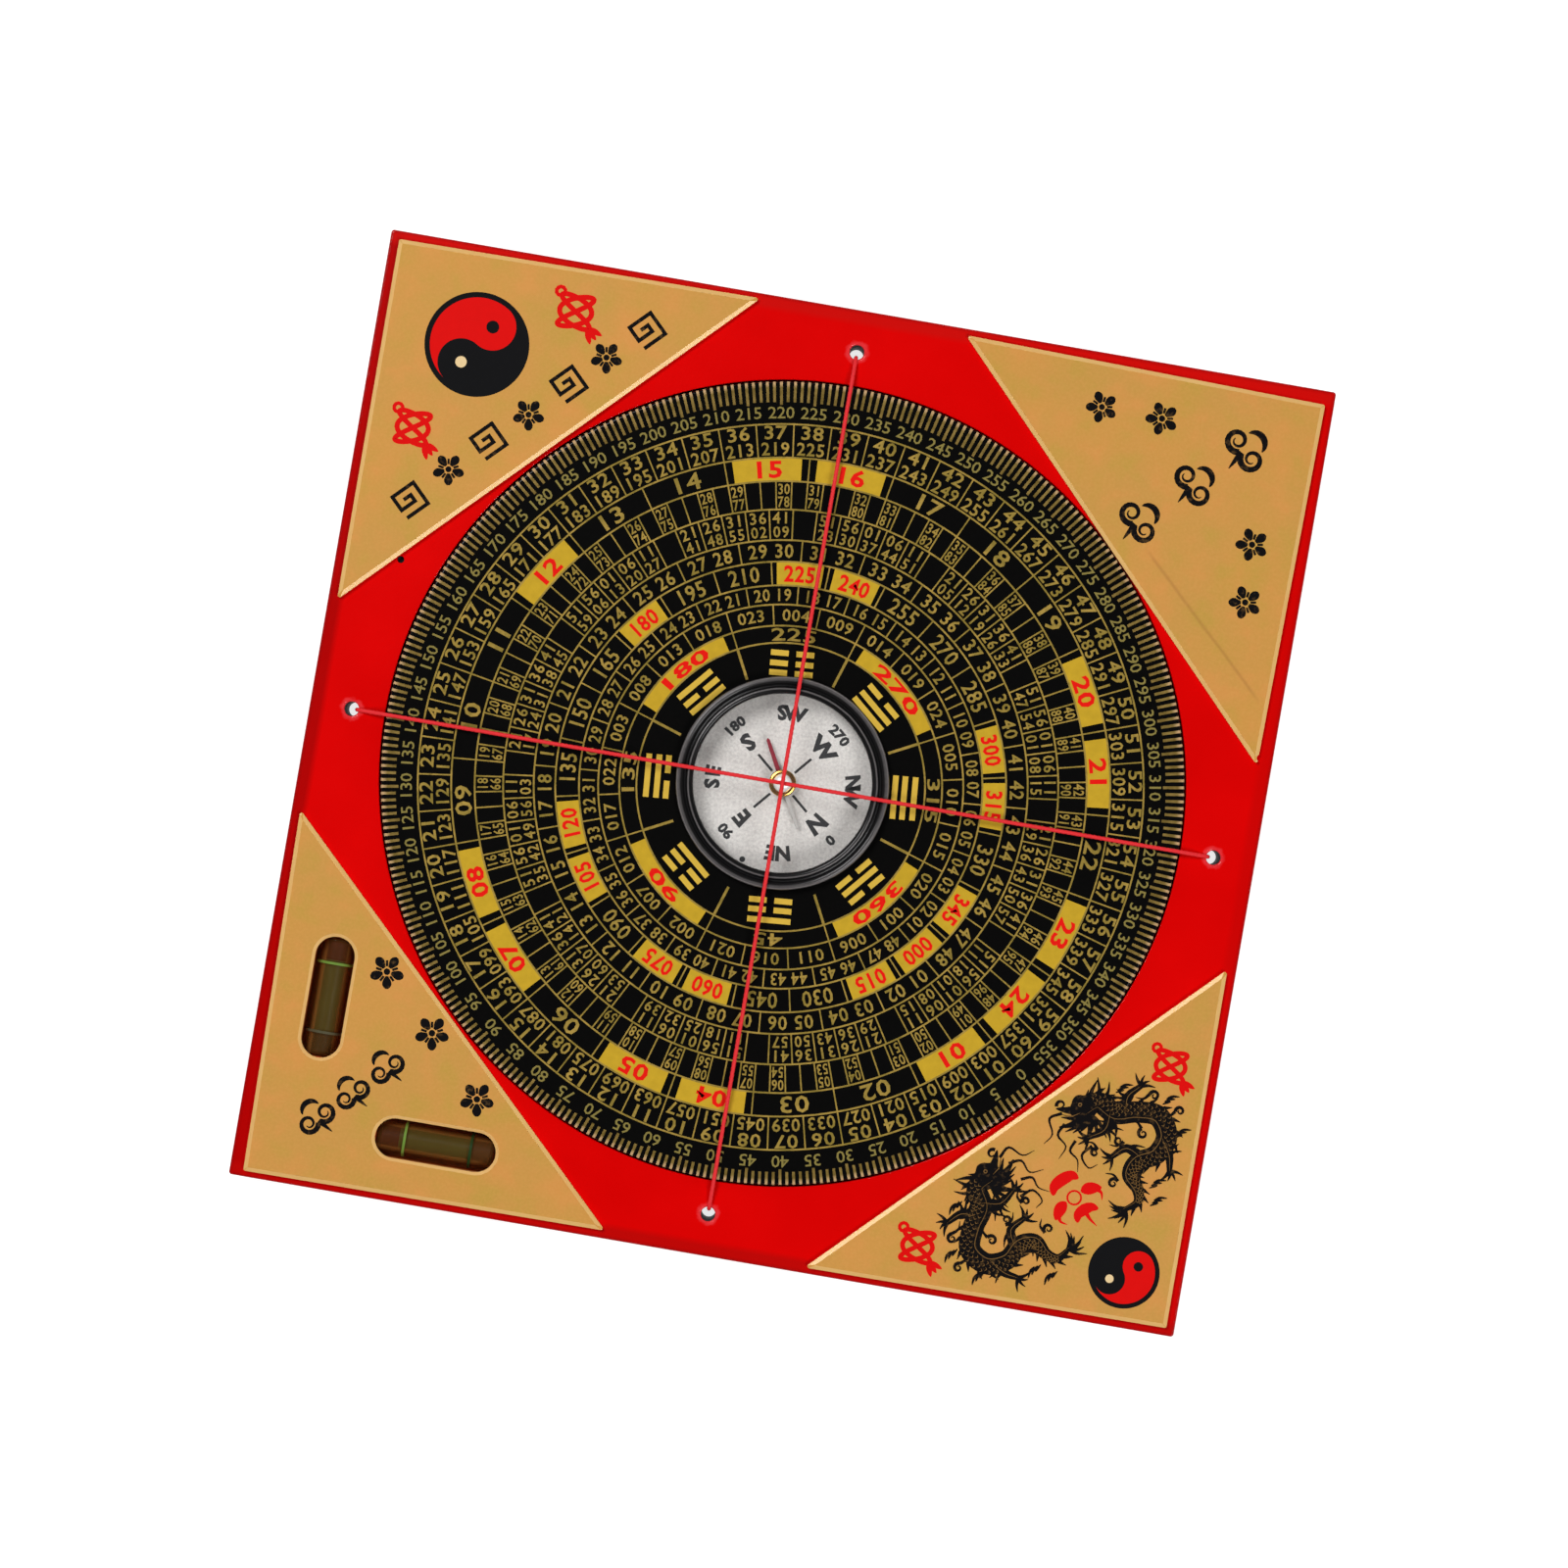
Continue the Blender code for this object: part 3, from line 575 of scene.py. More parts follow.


# the ticks are dull inside, with a painted highlight where they run over the disc's edge
def tickFinish():
    finish = Finish("pale gold print", {"Specular IOR Level": 0.05, "Metallic": 0.05})
    rim = finish.between(finish.reach() + 0.4 * (finish.noise(1.1, 3) - 0.5), 61.8, 62.5)
    patch = finish.between(finish.noise(1.6, 3), 0.35, 0.65)
    dull = finish.tones(patch, mixedShades["tick"])
    finish.feed("Base Color", finish.over(rim * 0.8, dull, mixedShades["tickRimHighlight"]))
    finish.feed("Roughness", 0.42 + 0.1 * rim)
    return finish.owner


def dialFinish():
    fixed = {"Specular IOR Level": 0.03, "Coat Weight": 0.3, "Coat Roughness": 0.07}
    finish = Finish("black dial", fixed)
    fine = finish.noise(0.5, 4)
    finish.feed("Base Color", finish.tones(fine, mixedShades["dial"]))
    finish.feed("Roughness", 0.4 + 0.2 * finish.noise(9, 2))
    finish.bump(fine, 0.01)
    return finish.owner


# painted highlights: grey bands along the turned bezel's outer rim and its ridge: middle, half width,
# share
highlightBands = ((16.3, 0.42, 0.48), (16.5, 0.14, 0.8), (14.75, 0.18, 0.62))


def bezelFinish():
    fixed = {"Specular IOR Level": 0.12, "Coat Weight": 0.3, "Coat Roughness": 0.08}
    finish = Finish("satin black bezel", fixed)
    fine = finish.noise(0.5, 4)
    shade = finish.tones(fine, mixedShades["bezel"])
    far = finish.reach() + 0.12 * (finish.noise(2.5, 2) - 0.5)
    # painted highlight bands over the black
    for middle, half, share in highlightBands:
        paintedBand = finish.between(abs(far - middle), half, half * 0.3) * (share - 0.25 * fine)
        shade = finish.over(paintedBand, shade, mixedShades["bezelHighlight"])
    finish.feed("Base Color", shade)
    finish.feed("Roughness", 0.32 + 0.1 * fine)
    finish.bump(fine, 0.008)
    return finish.owner


def cardFinish():
    finish = Finish("matt silver card", {"Metallic": 0.05, "Specular IOR Level": 0.1})
    fine = finish.between(finish.noise(0.45, 4), 0.3, 0.7)
    finish.feed("Base Color", finish.tones(fine, mixedShades["card"]))
    finish.feed("Roughness", 0.45 + 0.15 * fine)
    finish.bump(fine, 0.02)
    return finish.owner


# see-through: the body's own cover everywhere, and the mirrored light over it
def clearFinish(name, tint, body, gloss):
    finish = Finish(name, {"Base Color": tint, "Roughness": 0.03, "IOR": 1.45})
    finish.feed("Alpha", body + gloss * finish.node("Fresnel", {}, {"IOR": 1.45}))
    return finish.owner


# brushed ink: dark, worn through to brown in small flecks
def inkFinish():
    finish = Finish("brushed ink", {"Specular IOR Level": 0.04, "Roughness": 0.5})
    fleck = finish.between(finish.noise(0.8, 4), 0.56, 0.74)
    finish.feed("Base Color", finish.tones(fleck * 0.5, mixedShades["ink"]))
    return finish.owner


goldSpeckle = {"speckle": 0.12, "size": 1.6, "gloss": 0.05}
plugSpeckle = {"speckle": 0.2, "size": 1.2, "gloss": 0.06}
# name, colour, roughness, and what differs from plainFinish's own values
plain = {
    # near black: the holes' bare board, with their painted shade
    "core": ("board core", (18, 14, 14), 0.6, {"depth": 0.03}),
    "pocket": ("pocket wall", (244, 118, 44), 0.6, {"depth": 0.03}),
    "goldFill": ("gold ground", (214, 174, 46), 0.4, {"speckle": 0.13, "size": 1.2, "gloss": 0.05}),
    "brightGold": ("bright gold print", (232, 192, 74), 0.38, goldSpeckle),
    "degreeGold": ("dull gold print", (146, 132, 70), 0.45, goldSpeckle),
    "redInk": ("red print", (244, 26, 16), 0.5, {"speckle": 0.08, "size": 0.8, "gloss": 0.05}),
    "discRed": ("ornament red", (232, 10, 8), 0.45, {"speckle": 0.05, "size": 1.2, "gloss": 0.05}),
    "discBlack": ("ornament black", (17, 17, 19), 0.5, {"speckle": 0.1, "size": 1.2, "gloss": 0.05}),
    "markGold": ("gold marks", (132, 98, 54), 0.5, {"speckle": 0.2, "size": 0.8, "gloss": 0.05}),
    "cream": ("ornament cream", (245, 214, 160), 0.5, {"gloss": 0.1}),
    "greyInk": ("grey print", (50, 50, 52), 0.5, {"speckle": 0.1, "size": 0.4, "gloss": 0.1}),
    "steel": ("bright steel", (198, 198, 202), 0.3, {"metallic": 1.0, "size": 0.8}),
    "zinc": ("zinc plate", (190, 190, 184), 0.38, {"metallic": 1.0, "size": 0.7, "depth": 0.01}),
    "bareNeedle": ("bare needle", (206, 204, 200), 0.4, {"size": 0.5, "gloss": 0.2}),
    "needleRed": ("red needle paint", (150, 16, 44), 0.38, {"size": 0.5}),
    "brass": ("polished brass", (226, 170, 84), 0.22, {"metallic": 1.0, "size": 0.8}),
    # the jewel is a white agate, its base raised to full white as a painted highlight on the cap
    "jewel": ("white jewel", (255, 254, 250), 0.12, {"size": 0.5, "coat": 1.0}),
    "thread": ("waxed red thread", (246, 48, 54), 0.55, {"speckle": 0.1, "size": 0.35, "gloss": 0.2}),
    "felt": ("wine red felt", (112, 22, 34), 0.95, {"speckle": 0.25, "size": 0.5, "depth": 0.12}),
    "nylon": ("turned black nylon", (38, 38, 39), 0.5, {"depth": 0.01}),
    "case": ("moulded black case", (34, 34, 36), 0.42, {"size": 0.7, "depth": 0.01}),
    "liquid": ("olive liquid", (68, 71, 29), 0.3, {"speckle": 0.2, "size": 3, "gloss": 0.1}),
    "bubble": ("bubble", (72, 75, 33), 0.25, {"speckle": 0.1, "size": 2, "gloss": 0.15}),
    "greenLine": ("green ring print", (114, 148, 62), 0.4, {"gloss": 0.1}),
    "darkLine": ("dark green ring print", (36, 62, 28), 0.4, {"gloss": 0.1}),
    # painted highlight: a pale line for the glint near the y tube's lower end
    "paleLine": ("pale painted highlight ring", (86, 82, 60), 0.4, {"gloss": 0.1}),
    "plugDark": ("dark red plug", (58, 8, 12), 0.4, plugSpeckle),
    "plugOlive": ("olive plug", (44, 36, 16), 0.4, plugSpeckle),
    "plugBrown": ("brown plug", (68, 40, 20), 0.4, plugSpeckle),
}
finishes = {
    key: plainFinish(name, colour(*shade), roughness, **other)
    for key, (name, shade, roughness, other) in plain.items()
}
finishes |= {
    "lacquer": lacquerFinish(), "goldPlate": goldPlateFinish(), "goldPrint": goldPrintFinish(),
    "tickGold": tickFinish(), "dial": dialFinish(), "brushInk": inkFinish(), "bezel": bezelFinish(),
    "card": cardFinish(), "lens": clearFinish("clear lens", colour(250, 252, 252), 0.0, 0.35),
    "tube": clearFinish("clear vial tube", colour(150, 98, 46), 0.07, 0.5),
}
print("finishes are mixed:", len(finishes))


felt = {"half": 74.4, "cornerRadius": 0.9, "edgeRound": 0.15, "thickness": 1.0, "holeRadius": 1.7}
vials = {
    "places": {"x": (-43.85, -65.0), "y": (-64.3, -45.05)}, "height": 9.0,
    "radius": 2.9, "bore": 2.3, "length": 18.4, "chamfer": 0.3,
    # the liquid fills the bore but for a film, and reaches as far into both plugs
    "liquidRadius": 2.28, "liquidHalf": 5.78, "plugLength": 3.1, "plugInset": 0.3,
    "bubbleRadius": 0.8, "bubbleLength": 7.0, "bubbleRise": 1.2,
    "pocketHalf": 9.5, "pocketGap": 0.3, "slotLength": 19.1, "slotWidth": 6.2,
    # the two rings on each tube: places from its middle, half width and thickness; the y tube's second
    # is a painted highlight on the glass, the others are print
    "marks": {"x": (-4.95, 5.5), "y": (5.3, -5.6)}, "ringHalf": 0.2, "ringSunk": 0.02,
    "ringLift": 0.03,
    "ringShades": {"x": ("greenLine", "darkLine"), "y": ("greenLine", "paleLine")},
    "plugShades": {"x": ("plugDark", "plugBrown"), "y": ("plugOlive", "plugDark")},
}
holePlaces = board["holePlace"] * np.array([(1, 0), (0, 1), (-1, 0), (0, -1)])


# quarter round from one point of a profile to another: one of radius and height follows the sine of
# the angle and the other 1 less its cosine; flip changes them over
def quarter(start, end, steps=4, flip=False):
    share = np.linspace(0, math.pi / 2, steps + 1)
    sine, rest = np.sin(share), 1 - np.cos(share)
    first, second = (sine, rest) if flip else (rest, sine)
    return [
        (start[0] + (end[0] - start[0]) * a, start[1] + (end[1] - start[1]) * b)
        for a, b in zip(first, second)
    ]


# a round punch through heights below and above what it cuts
def punch(radius, low, high, segments):
    return lathed([(0, low), (radius, low), (radius, high), (0, high)], segments, False)


# The board is one closed skin of rings: out along its underside, up the rounded sides, in along the
# top, and down the recess's wall to its floor and the stepped bore. All rings have their points at the
# same polar angles.
def makeBoard():
    half, corner, edge = board["half"], board["cornerRadius"], board["edgeRound"]
    outer = roundedSquare(half, corner)
    angle = np.arctan2(outer[:, 1], outer[:, 0])
    way = np.stack([np.cos(angle), np.sin(angle)], -1)

    def circle(radius, height):
        return atHeight(way * radius, height)

    def square(inset, height):
        return atHeight(roundedSquare(half - inset, corner - inset), height)

    low, high, recess = board["bottom"], board["top"], board["recessRadius"]
    soft, bore, counterbore = board["recessRound"], board["boreRadius"], board["counterboreRadius"]
    rings = [circle(counterbore, low)]
    rings += [square(*point) for point in quarter((edge, low), (0, low + edge), flip=True)]
    rings += [square(*point) for point in quarter((0, high - edge), (edge, high))]
    rings += [
        circle(*point) for point in quarter((recess + soft, high), (recess, high - soft), 3, True)
    ]
    rings += [circle(radius, board["recessFloor"]) for radius in (recess, bore)]
    rings += [circle(radius, board["ledgeBottom"]) for radius in (bore, counterbore)]
    piece = makePiece(
        "lacquered_board", stacked(rings, True), finishes["lacquer"], "board",
        ["base_plate"], drilled=True,
    )
    radius, flare, start = board["holeRadius"], board["holeFlare"], board["drillFloor"]
    profile = [(0, start), (radius, start)]
    profile += quarter((radius, high - flare), (radius + flare, high), 6)
    profile += [(radius + flare, high + 1), (0, high + 1)]
    drill = lathed(profile, board["holeSegments"], meets=False)
    pin = punch(board["pinholeRadius"], high - board["pinholeDepth"], high + 1, 20)
    drills = [movedBy(drill, x, y) for x, y in holePlaces]
    cutOut(piece, joined(*drills, movedBy(pin, *board["pinhole"])))
    radius, roof = board["knotPocket"]
    pocket = punch(radius, start, roof, 24)
    share = board["knotPlace"] / board["holePlace"]
    cutOut(piece, joined(*(movedBy(pocket, x * share, y * share) for x, y in holePlaces)))
    ends = np.array([[[x * share, y * share], [x, y]] for x, y in holePlaces])
    cutOut(piece, ribbons(ends, board["grooveHalfWidth"], start, board["grooveRoof"]))
    wall, end = vials["radius"] + vials["pocketGap"], vials["pocketHalf"]
    box = roundedCorners([(-end, -wall), (end, -wall), (end, wall), (-end, wall)], vials["chamfer"])
    cutOut(piece, atVials(slab(box, vials["height"] - wall, high + 1)))
    paintShadedCore(piece)
    shaded(piece, 30)


# a shape made along X stands at the one vial, and turned a quarter at the other
def atVials(shape):
    places = vials["places"]
    return joined(movedBy(shape, *places["x"]), movedBy(turnedBy(shape, 90), *places["y"]))


# the bare board shows on the walls of the holes, painted near black as the shade down them; the
# pockets have now their own finish, and the lacquer is everywhere else
def paintShadedCore(piece):
    mesh = piece.data
    centres = np.empty(len(mesh.polygons) * 3, np.float32)
    mesh.polygons.foreach_get("center", centres)
    centres = centres.reshape(-1, 3) * 1000
    slots = np.zeros(len(centres), np.int32)
    below = centres[:, 2] < board["top"] - 0.01
    deep = centres[:, 2] < board["top"] - board["holeFlare"] - 0.05
    rounds = [(place, board["holeRadius"], deep) for place in holePlaces]
    for (x, y), radius, under in (*rounds, (board["pinhole"], board["pinholeRadius"], below)):
        away = np.hypot(centres[:, 0] - x, centres[:, 1] - y)
        slots[(away < radius + 0.02) & under] = 1
    reach = np.array([vials["pocketHalf"], vials["radius"] + vials["pocketGap"]]) + 0.1
    for name, place in vials["places"].items():
        off = abs(centres[:, :2] - place) < (reach if name == "x" else reach[::-1])
        slots[off.all(1) & (centres[:, 2] > 2) & below] = 2
    mesh.materials.append(finishes["core"])
    mesh.materials.append(finishes["pocket"])
    mesh.polygons.foreach_set("material_index", slots)


# a sheet with softened edges and a hole under each knot
def makeFelt():
    half, corner, soft = felt["half"], felt["cornerRadius"], felt["edgeRound"]
    outline = roundedSquare(half, corner, 12, 6)
    inner = roundedSquare(half - soft, corner - soft, 12, 6)
    thick = felt["thickness"]
    outlines = ((inner, 0), (outline, soft), (outline, thick - soft), (inner, thick))
    shape = stacked([atHeight(*ring) for ring in outlines])
    piece = makePiece(
        "felt_backing", shape, finishes["felt"], "board", ["backing_felt"], drilled=True,
    )
    hole = punch(felt["holeRadius"], -1, 2, 32)
    cutOut(piece, joined(*(movedBy(hole, x, y) for x, y in holePlaces)))
    shaded(piece, 50)


makeBoard()
makeFelt()
print("board and felt are made")


plates = {
    "bottom": 12.0, "top": 13.1, "bevelAcross": 0.62, "bevelDown": 0.25, "cornerRadius": 0.3,
    # which way the corner lies along x and y, and how far in from the board's sides
    "insets": {
        "back_left": (-1, 1, 1.5, 1.4), "back_right": (1, 1, 1.5, 2.3),
        "front_right": (1, -1, 1.4, 1.3), "front_left": (-1, -1, 2.25, 1.0),
    },
    # hand-cut plates aren't quite square: how far the tip along x and the tip along y are off
    "tipShifts": {
        "back_left": ((0.4, 0.5), (0.0, -0.35)), "back_right": ((-0.35, 1.2), (-0.9, -0.5)),
        "front_right": ((-0.5, -0.3), (-0.1, 0.0)), "front_left": ((0.5, 0.35), (-0.8, 0.25)),
    },
    "nick": (72.95, 16.6), "nickRadius": 0.6,
}


# a plate's leg is what the recess leaves of the board's side, less the widest pair of insets
def makePlates():
    widest = max(across + along for _, _, across, along in plates["insets"].values())
    leg = 2 * board["half"] - widest - math.sqrt(2) * (board["recessRadius"] + 0.1)
    radius, bevel = plates["cornerRadius"], plates["bevelAcross"]
    shoulder = plates["top"] - plates["bevelDown"]
    for name, (sideX, sideY, insetX, insetY) in plates["insets"].items():
        x, y = sideX * (board["half"] - insetX), sideY * (board["half"] - insetY)
        corners = np.array([(x, y), (x - sideX * leg, y), (x, y - sideY * leg)])
        corners[1:] += plates["tipShifts"][name]
        if sideX * sideY < 0:
            corners = corners[::-1]
        wall = roundedCorners(corners, radius)
        rings = [atHeight(wall, plates["bottom"]), atHeight(wall, shoulder)]
        rings.append(atHeight(roundedCorners(corners, radius, bevel), plates["top"]))
        piece = makePiece(
            f"gold_plate_{name}", stacked(rings), finishes["goldPlate"], "board",
            [f"corner_plate_{name}"], drilled=True,
        )
        if name == "front_left":
            cutSlots(piece)
        if name == "back_right":
            nick = punch(plates["nickRadius"], plates["bottom"] - 1, plates["top"] + 0.9, 24)
            cutOut(piece, movedBy(nick, *plates["nick"]))
        shaded(piece, 15)


# the slots over the vials: straight walls, and a bevel at the plate's top
def cutSlots(piece):
    length, width, bevel = vials["slotLength"], vials["slotWidth"], plates["bevelAcross"] * 0.8
    narrow, wide = stadium(length, width), stadium(length + 2 * bevel, width + 2 * bevel)
    low, top = plates["bottom"] - 1, plates["top"]
    rings = ((narrow, low), (narrow, top - plates["bevelDown"]), (wide, top), (wide, top + 1))
    cutOut(piece, atVials(stacked([atHeight(*ring) for ring in rings])))


makePlates()
print("corner plates are made")


dial = {
    "turn": -130.3,  # degrees, at rest
    "radius": 62.8, "bore": 15.9, "bottom": 7.8, "top": 12.8, "edgeRound": 0.4, "segments": 240,
}
dialPrint = {
    "offset": (0.60, 0.28),  # the print lies a little off the disc's middle
    "sunk": 0.02, "lineLift": 0.03, "fillLift": 0.02, "redLift": 0.045, "barLift": 0.04,
    "lines": (56.74, 51.51, 47.83, 43.39, 38.61, 35.24, 31.53, 28.54, 25.23, 22.56),
    "lineWidth": 0.27, "dividerWidth": 0.23, "wideDividerWidth": 0.42, "dividerDrop": 0.004,
    # inner radius, outer radius, number of dividers, angle of the first
    "dividers": (
        (51.51, 56.74, 60, 0.0), (47.83, 51.51, 24, 0.0), (43.39, 47.83, 120, 0.0),
        (38.61, 43.39, 72, 2.5), (35.24, 38.61, 24, 0.0), (31.53, 35.24, 24, 7.5),
        (28.54, 31.53, 24, 0.0), (25.23, 28.54, 24, 7.5), (22.56, 25.23, 8, 22.5),
    ),
    "outerCells": (47.83, 51.51, 12.3, (
        217.5, 232.5, 172.5, 292.5, 307.5, 337.5, 352.5, 7.5, 52.5, 67.5, 97.5, 112.5,
    )),
    "innerCells": (31.53, 35.24, 12.3, (0, 15, 60, 75, 105, 120, 180, 225, 240, 300, 315, 345)),
    "sectorCells": (22.56, 25.23, 38.0, (0, 90, 180, 270)), "cellGap": 0.1,
    # the rows of numbers from the outside in: radius, height, width share, pitch share
    "numbers": {
        "degrees": (58.55, 1.8, 1.1, 0.78), "count": (55.45, 2.05, 1.2, 0.95),
        "angle": (52.9, 1.95, 1.0, 0.78), "outerCells": (49.67, 2.5, 1.3, 1.0),
        "firstHalf": (46.6, 1.6, 0.8, 0.62), "secondHalf": (44.6, 1.6, 0.78, 0.6),
        "fives": (42.1, 1.75, 1.0, 0.85), "sevens": (39.9, 1.7, 0.95, 0.8),
        "rising": (36.92, 2.1, 0.95, 0.76), "innerCells": (33.4, 2.4, 0.9, 0.7),
        "falling": (30.05, 1.85, 0.9, 0.72), "inner": (26.9, 1.8, 1.05, 0.82),
        "sectors": (23.9, 1.9, 2.3, 1.7), "corners": (23.9, 1.9, 1.7, 1.3),
    },
    "boldness": {"gold": 0.016, "degree": 0.008, "red": 0.028},
    "tickInner": 60.17, "longTickInner": 59.75, "tickWidth": 0.44, "tickBend": (0, 35, 70),
    # the eight signs clockwise from the top, each from the middle outwards: 1 is a whole bar
    "signs": ((0, 1, 0), (0, 0, 1), (1, 0, 0), (0, 1, 1), (1, 0, 1), (0, 0, 0), (1, 1, 0), (1, 1, 1)),
    "signRadii": (17.8, 19.3, 20.9), "signLength": 6.8, "signWidth": 0.9, "signGap": 1.2,
    "signDividers": (17.6, 22.56),
}
glyphs = {}
digitFoot, digitHeight = 0.345, 0.69  # the font's own middle and height of a digit


# a letter's solid from Blender's own font: a digit is one unit tall and centred, with its underside
# at 0 and its top at 1
def glyph(letter, fineness, boldness):
    key = (letter, fineness, boldness)
    if key not in glyphs:
        curve = bpy.data.curves.new("letter", "FONT")
        curve.body = letter
        curve.resolution_u = fineness
        curve.extrude = 0.1
        curve.offset = boldness
        holder = bpy.data.objects.new("letter", curve)
        scene.collection.objects.link(holder)
        graph = bpy.context.evaluated_depsgraph_get()
        mesh = bpy.data.meshes.new_from_object(holder.evaluated_get(graph))
        work = bmesh.new()
        work.from_mesh(mesh)
        bmesh.ops.remove_doubles(work, verts=work.verts, dist=1e-5)
        loose = {"verts": work.verts, "edges": work.edges}
        bmesh.ops.dissolve_limit(work, angle_limit=0.01, delimit={"NORMAL"}, **loose)
        bmesh.ops.recalc_face_normals(work, faces=work.faces)
        work.verts.index_update()
        points = np.array([vertex.co for vertex in work.verts])
        faces = {}
        for face in work.faces:
            faces.setdefault(len(face.verts), []).append([vertex.index for vertex in face.verts])
        work.free()
        bpy.data.objects.remove(holder)
        bpy.data.curves.remove(curve)
        bpy.data.meshes.remove(mesh)
        points[:, 0] -= (points[:, 0].min() + points[:, 0].max()) / 2
        points[:, 1] -= digitFoot
        points[:, :2] /= digitHeight
        points[:, 2] = points[:, 2] > 0
        glyphs[key] = (points, [np.array(group) for group in faces.values()])
    return glyphs[key]


# lettering bent round a centre: x = (r + up) sin(a + across / r), y = (r + up) cos(a + across / r);
# each entry is its letters, the degrees clockwise, and its row's radius, height, width share and
# pitch share
def lettering(entries, bottom, top, boldness, fineness=2):
    places = {}
    for letters, degrees, (radius, height, wide, pitch) in entries:
        for index, letter in enumerate(letters):
            shift = (index - (len(letters) - 1) / 2) * pitch * height
            row = (radius, math.radians(degrees), height, wide, shift)
            places.setdefault(letter, []).append(row)
    shapes = []
    for letter, rows in places.items():
        points, faces = glyph(letter, fineness, boldness)
        radius, angle, height, wide, shift = (column[:, None] for column in np.array(rows, float).T)
        across = points[:, 0] * height * wide + shift
        out = radius + points[:, 1] * height
        turn = angle + across / radius
        rise = bottom + (top - bottom) * points[:, 2] + 0 * turn
        copies = np.stack([out * np.sin(turn), out * np.cos(turn), rise], -1).reshape(-1, 3)
        shapes.append((copies, [copied(group, len(rows), len(points)) for group in faces]))
    return joined(*shapes)


# the point at a radius and an angle clockwise from upwards
def around(radius, degrees):
    angle = np.radians(degrees)
    return np.stack([radius * np.sin(angle), radius * np.cos(angle)], -1)


def printOnDial(name, shape, finish):
    shape = turnedBy(movedBy(shape, *dialPrint["offset"]), dial["turn"])
    makePiece(name, shape, finishes[finish], "dial", sharpAngle=40)


# the heights of a print's underside and top
def printHeights(lift):
    return dial["top"] - dialPrint["sunk"], dial["top"] + dialPrint[lift]


def makeDial():
    radius, soft, low, high = dial["radius"], dial["edgeRound"], dial["bottom"], dial["top"]
    profile = [(dial["bore"], low)] + quarter((radius - soft, low), (radius, low + soft), 3, True)
    profile += quarter((radius, high - soft), (radius - soft, high), 5) + [(dial["bore"], high)]
    shape = lathed(profile, dial["segments"])
    makePiece("printed_dial", shape, finishes["dial"], "dial", ["dial_disc"])


# rings, and dividers at equal angles between them, which lie a hair's breadth lower
def makeDialLines():
    low, high = printHeights("lineLift")
    lower = high - dialPrint["dividerDrop"]
    turn = np.linspace(0, 360, 180, endpoint=False)
    rings = [around(radius, turn) for radius in dialPrint["lines"]]
    shapes = [ribbons(rings, dialPrint["lineWidth"] / 2, low, high, True)]
    for inner, outer, count, first in dialPrint["dividers"]:
        angles = first + np.arange(count) * 360 / count
        paths = np.stack([around(inner, angles), around(outer, angles)], 1)
        shapes.append(ribbons(paths, dialPrint["dividerWidth"] / 2, low, lower))
    angles = 22.5 + np.arange(8) * 45
    paths = np.stack([around(radius, angles) for radius in dialPrint["signDividers"]], 1)
    shapes.append(ribbons(paths, dialPrint["wideDividerWidth"] / 2, low, lower))
    printOnDial("dial_lines", joined(*shapes), "goldPrint")


# a tick runs out to the disc's edge and over its round: where a ray from the print's middle meets the
# circle of radius q about the disc's middle, its length is sqrt((o.u)^2 - o.o + q^2) - o.u
def makeDialTicks():
    degrees = np.arange(360)
    ray = around(1.0, degrees)
    offset = np.array(dialPrint["offset"])
    middle = dial["radius"] - dial["edgeRound"]
    bend = np.radians(dialPrint["tickBend"])
    reach = middle + dial["edgeRound"] * np.sin(bend)
    drop = dial["top"] - dial["edgeRound"] * (1 - np.cos(bend))
    along = ray @ offset
    length = np.sqrt(along[:, None] ** 2 - offset @ offset + reach ** 2) - along[:, None]
    start = np.where(degrees % 5 == 0, dialPrint["longTickInner"], dialPrint["tickInner"])
    length = np.concatenate([start[:, None], length], 1)
    height = np.concatenate([[dial["top"]], drop])
    rise = np.broadcast_to(height[:, None], (*length.shape, 1))
    paths = np.concatenate([length[..., None] * ray[:, None], rise], -1)
    left = atHeight(np.stack([-ray[:, 1], ray[:, 0]], -1), 0)[:, None]
    tilt = np.concatenate([[0], bend])
    upright = np.broadcast_to(np.cos(tilt)[:, None], rise.shape)
    up = np.concatenate([ray[:, None] * np.sin(tilt)[None, :, None], upright], -1)
    low, high = -dialPrint["sunk"], dialPrint["lineLift"]
    shape = bars(paths, left, up, dialPrint["tickWidth"] / 2, low, high)
    printOnDial("dial_ticks", shape, "tickGold")


# a filled cell is a broad stroke along its arc
def makeDialGrounds():
    low, high = printHeights("fillLift")
    shapes = []
    for name in ("outerCells", "innerCells", "sectorCells"):
        inner, outer, spread, centres = dialPrint[name]
        turn = np.array(centres)[:, None] + np.linspace(-spread / 2, spread / 2, 9)
        half = (outer - inner) / 2 - dialPrint["cellGap"]
        shapes.append(ribbons(around((inner + outer) / 2, turn), half, low, high))
    printOnDial("dial_gold_grounds", joined(*shapes), "goldFill")


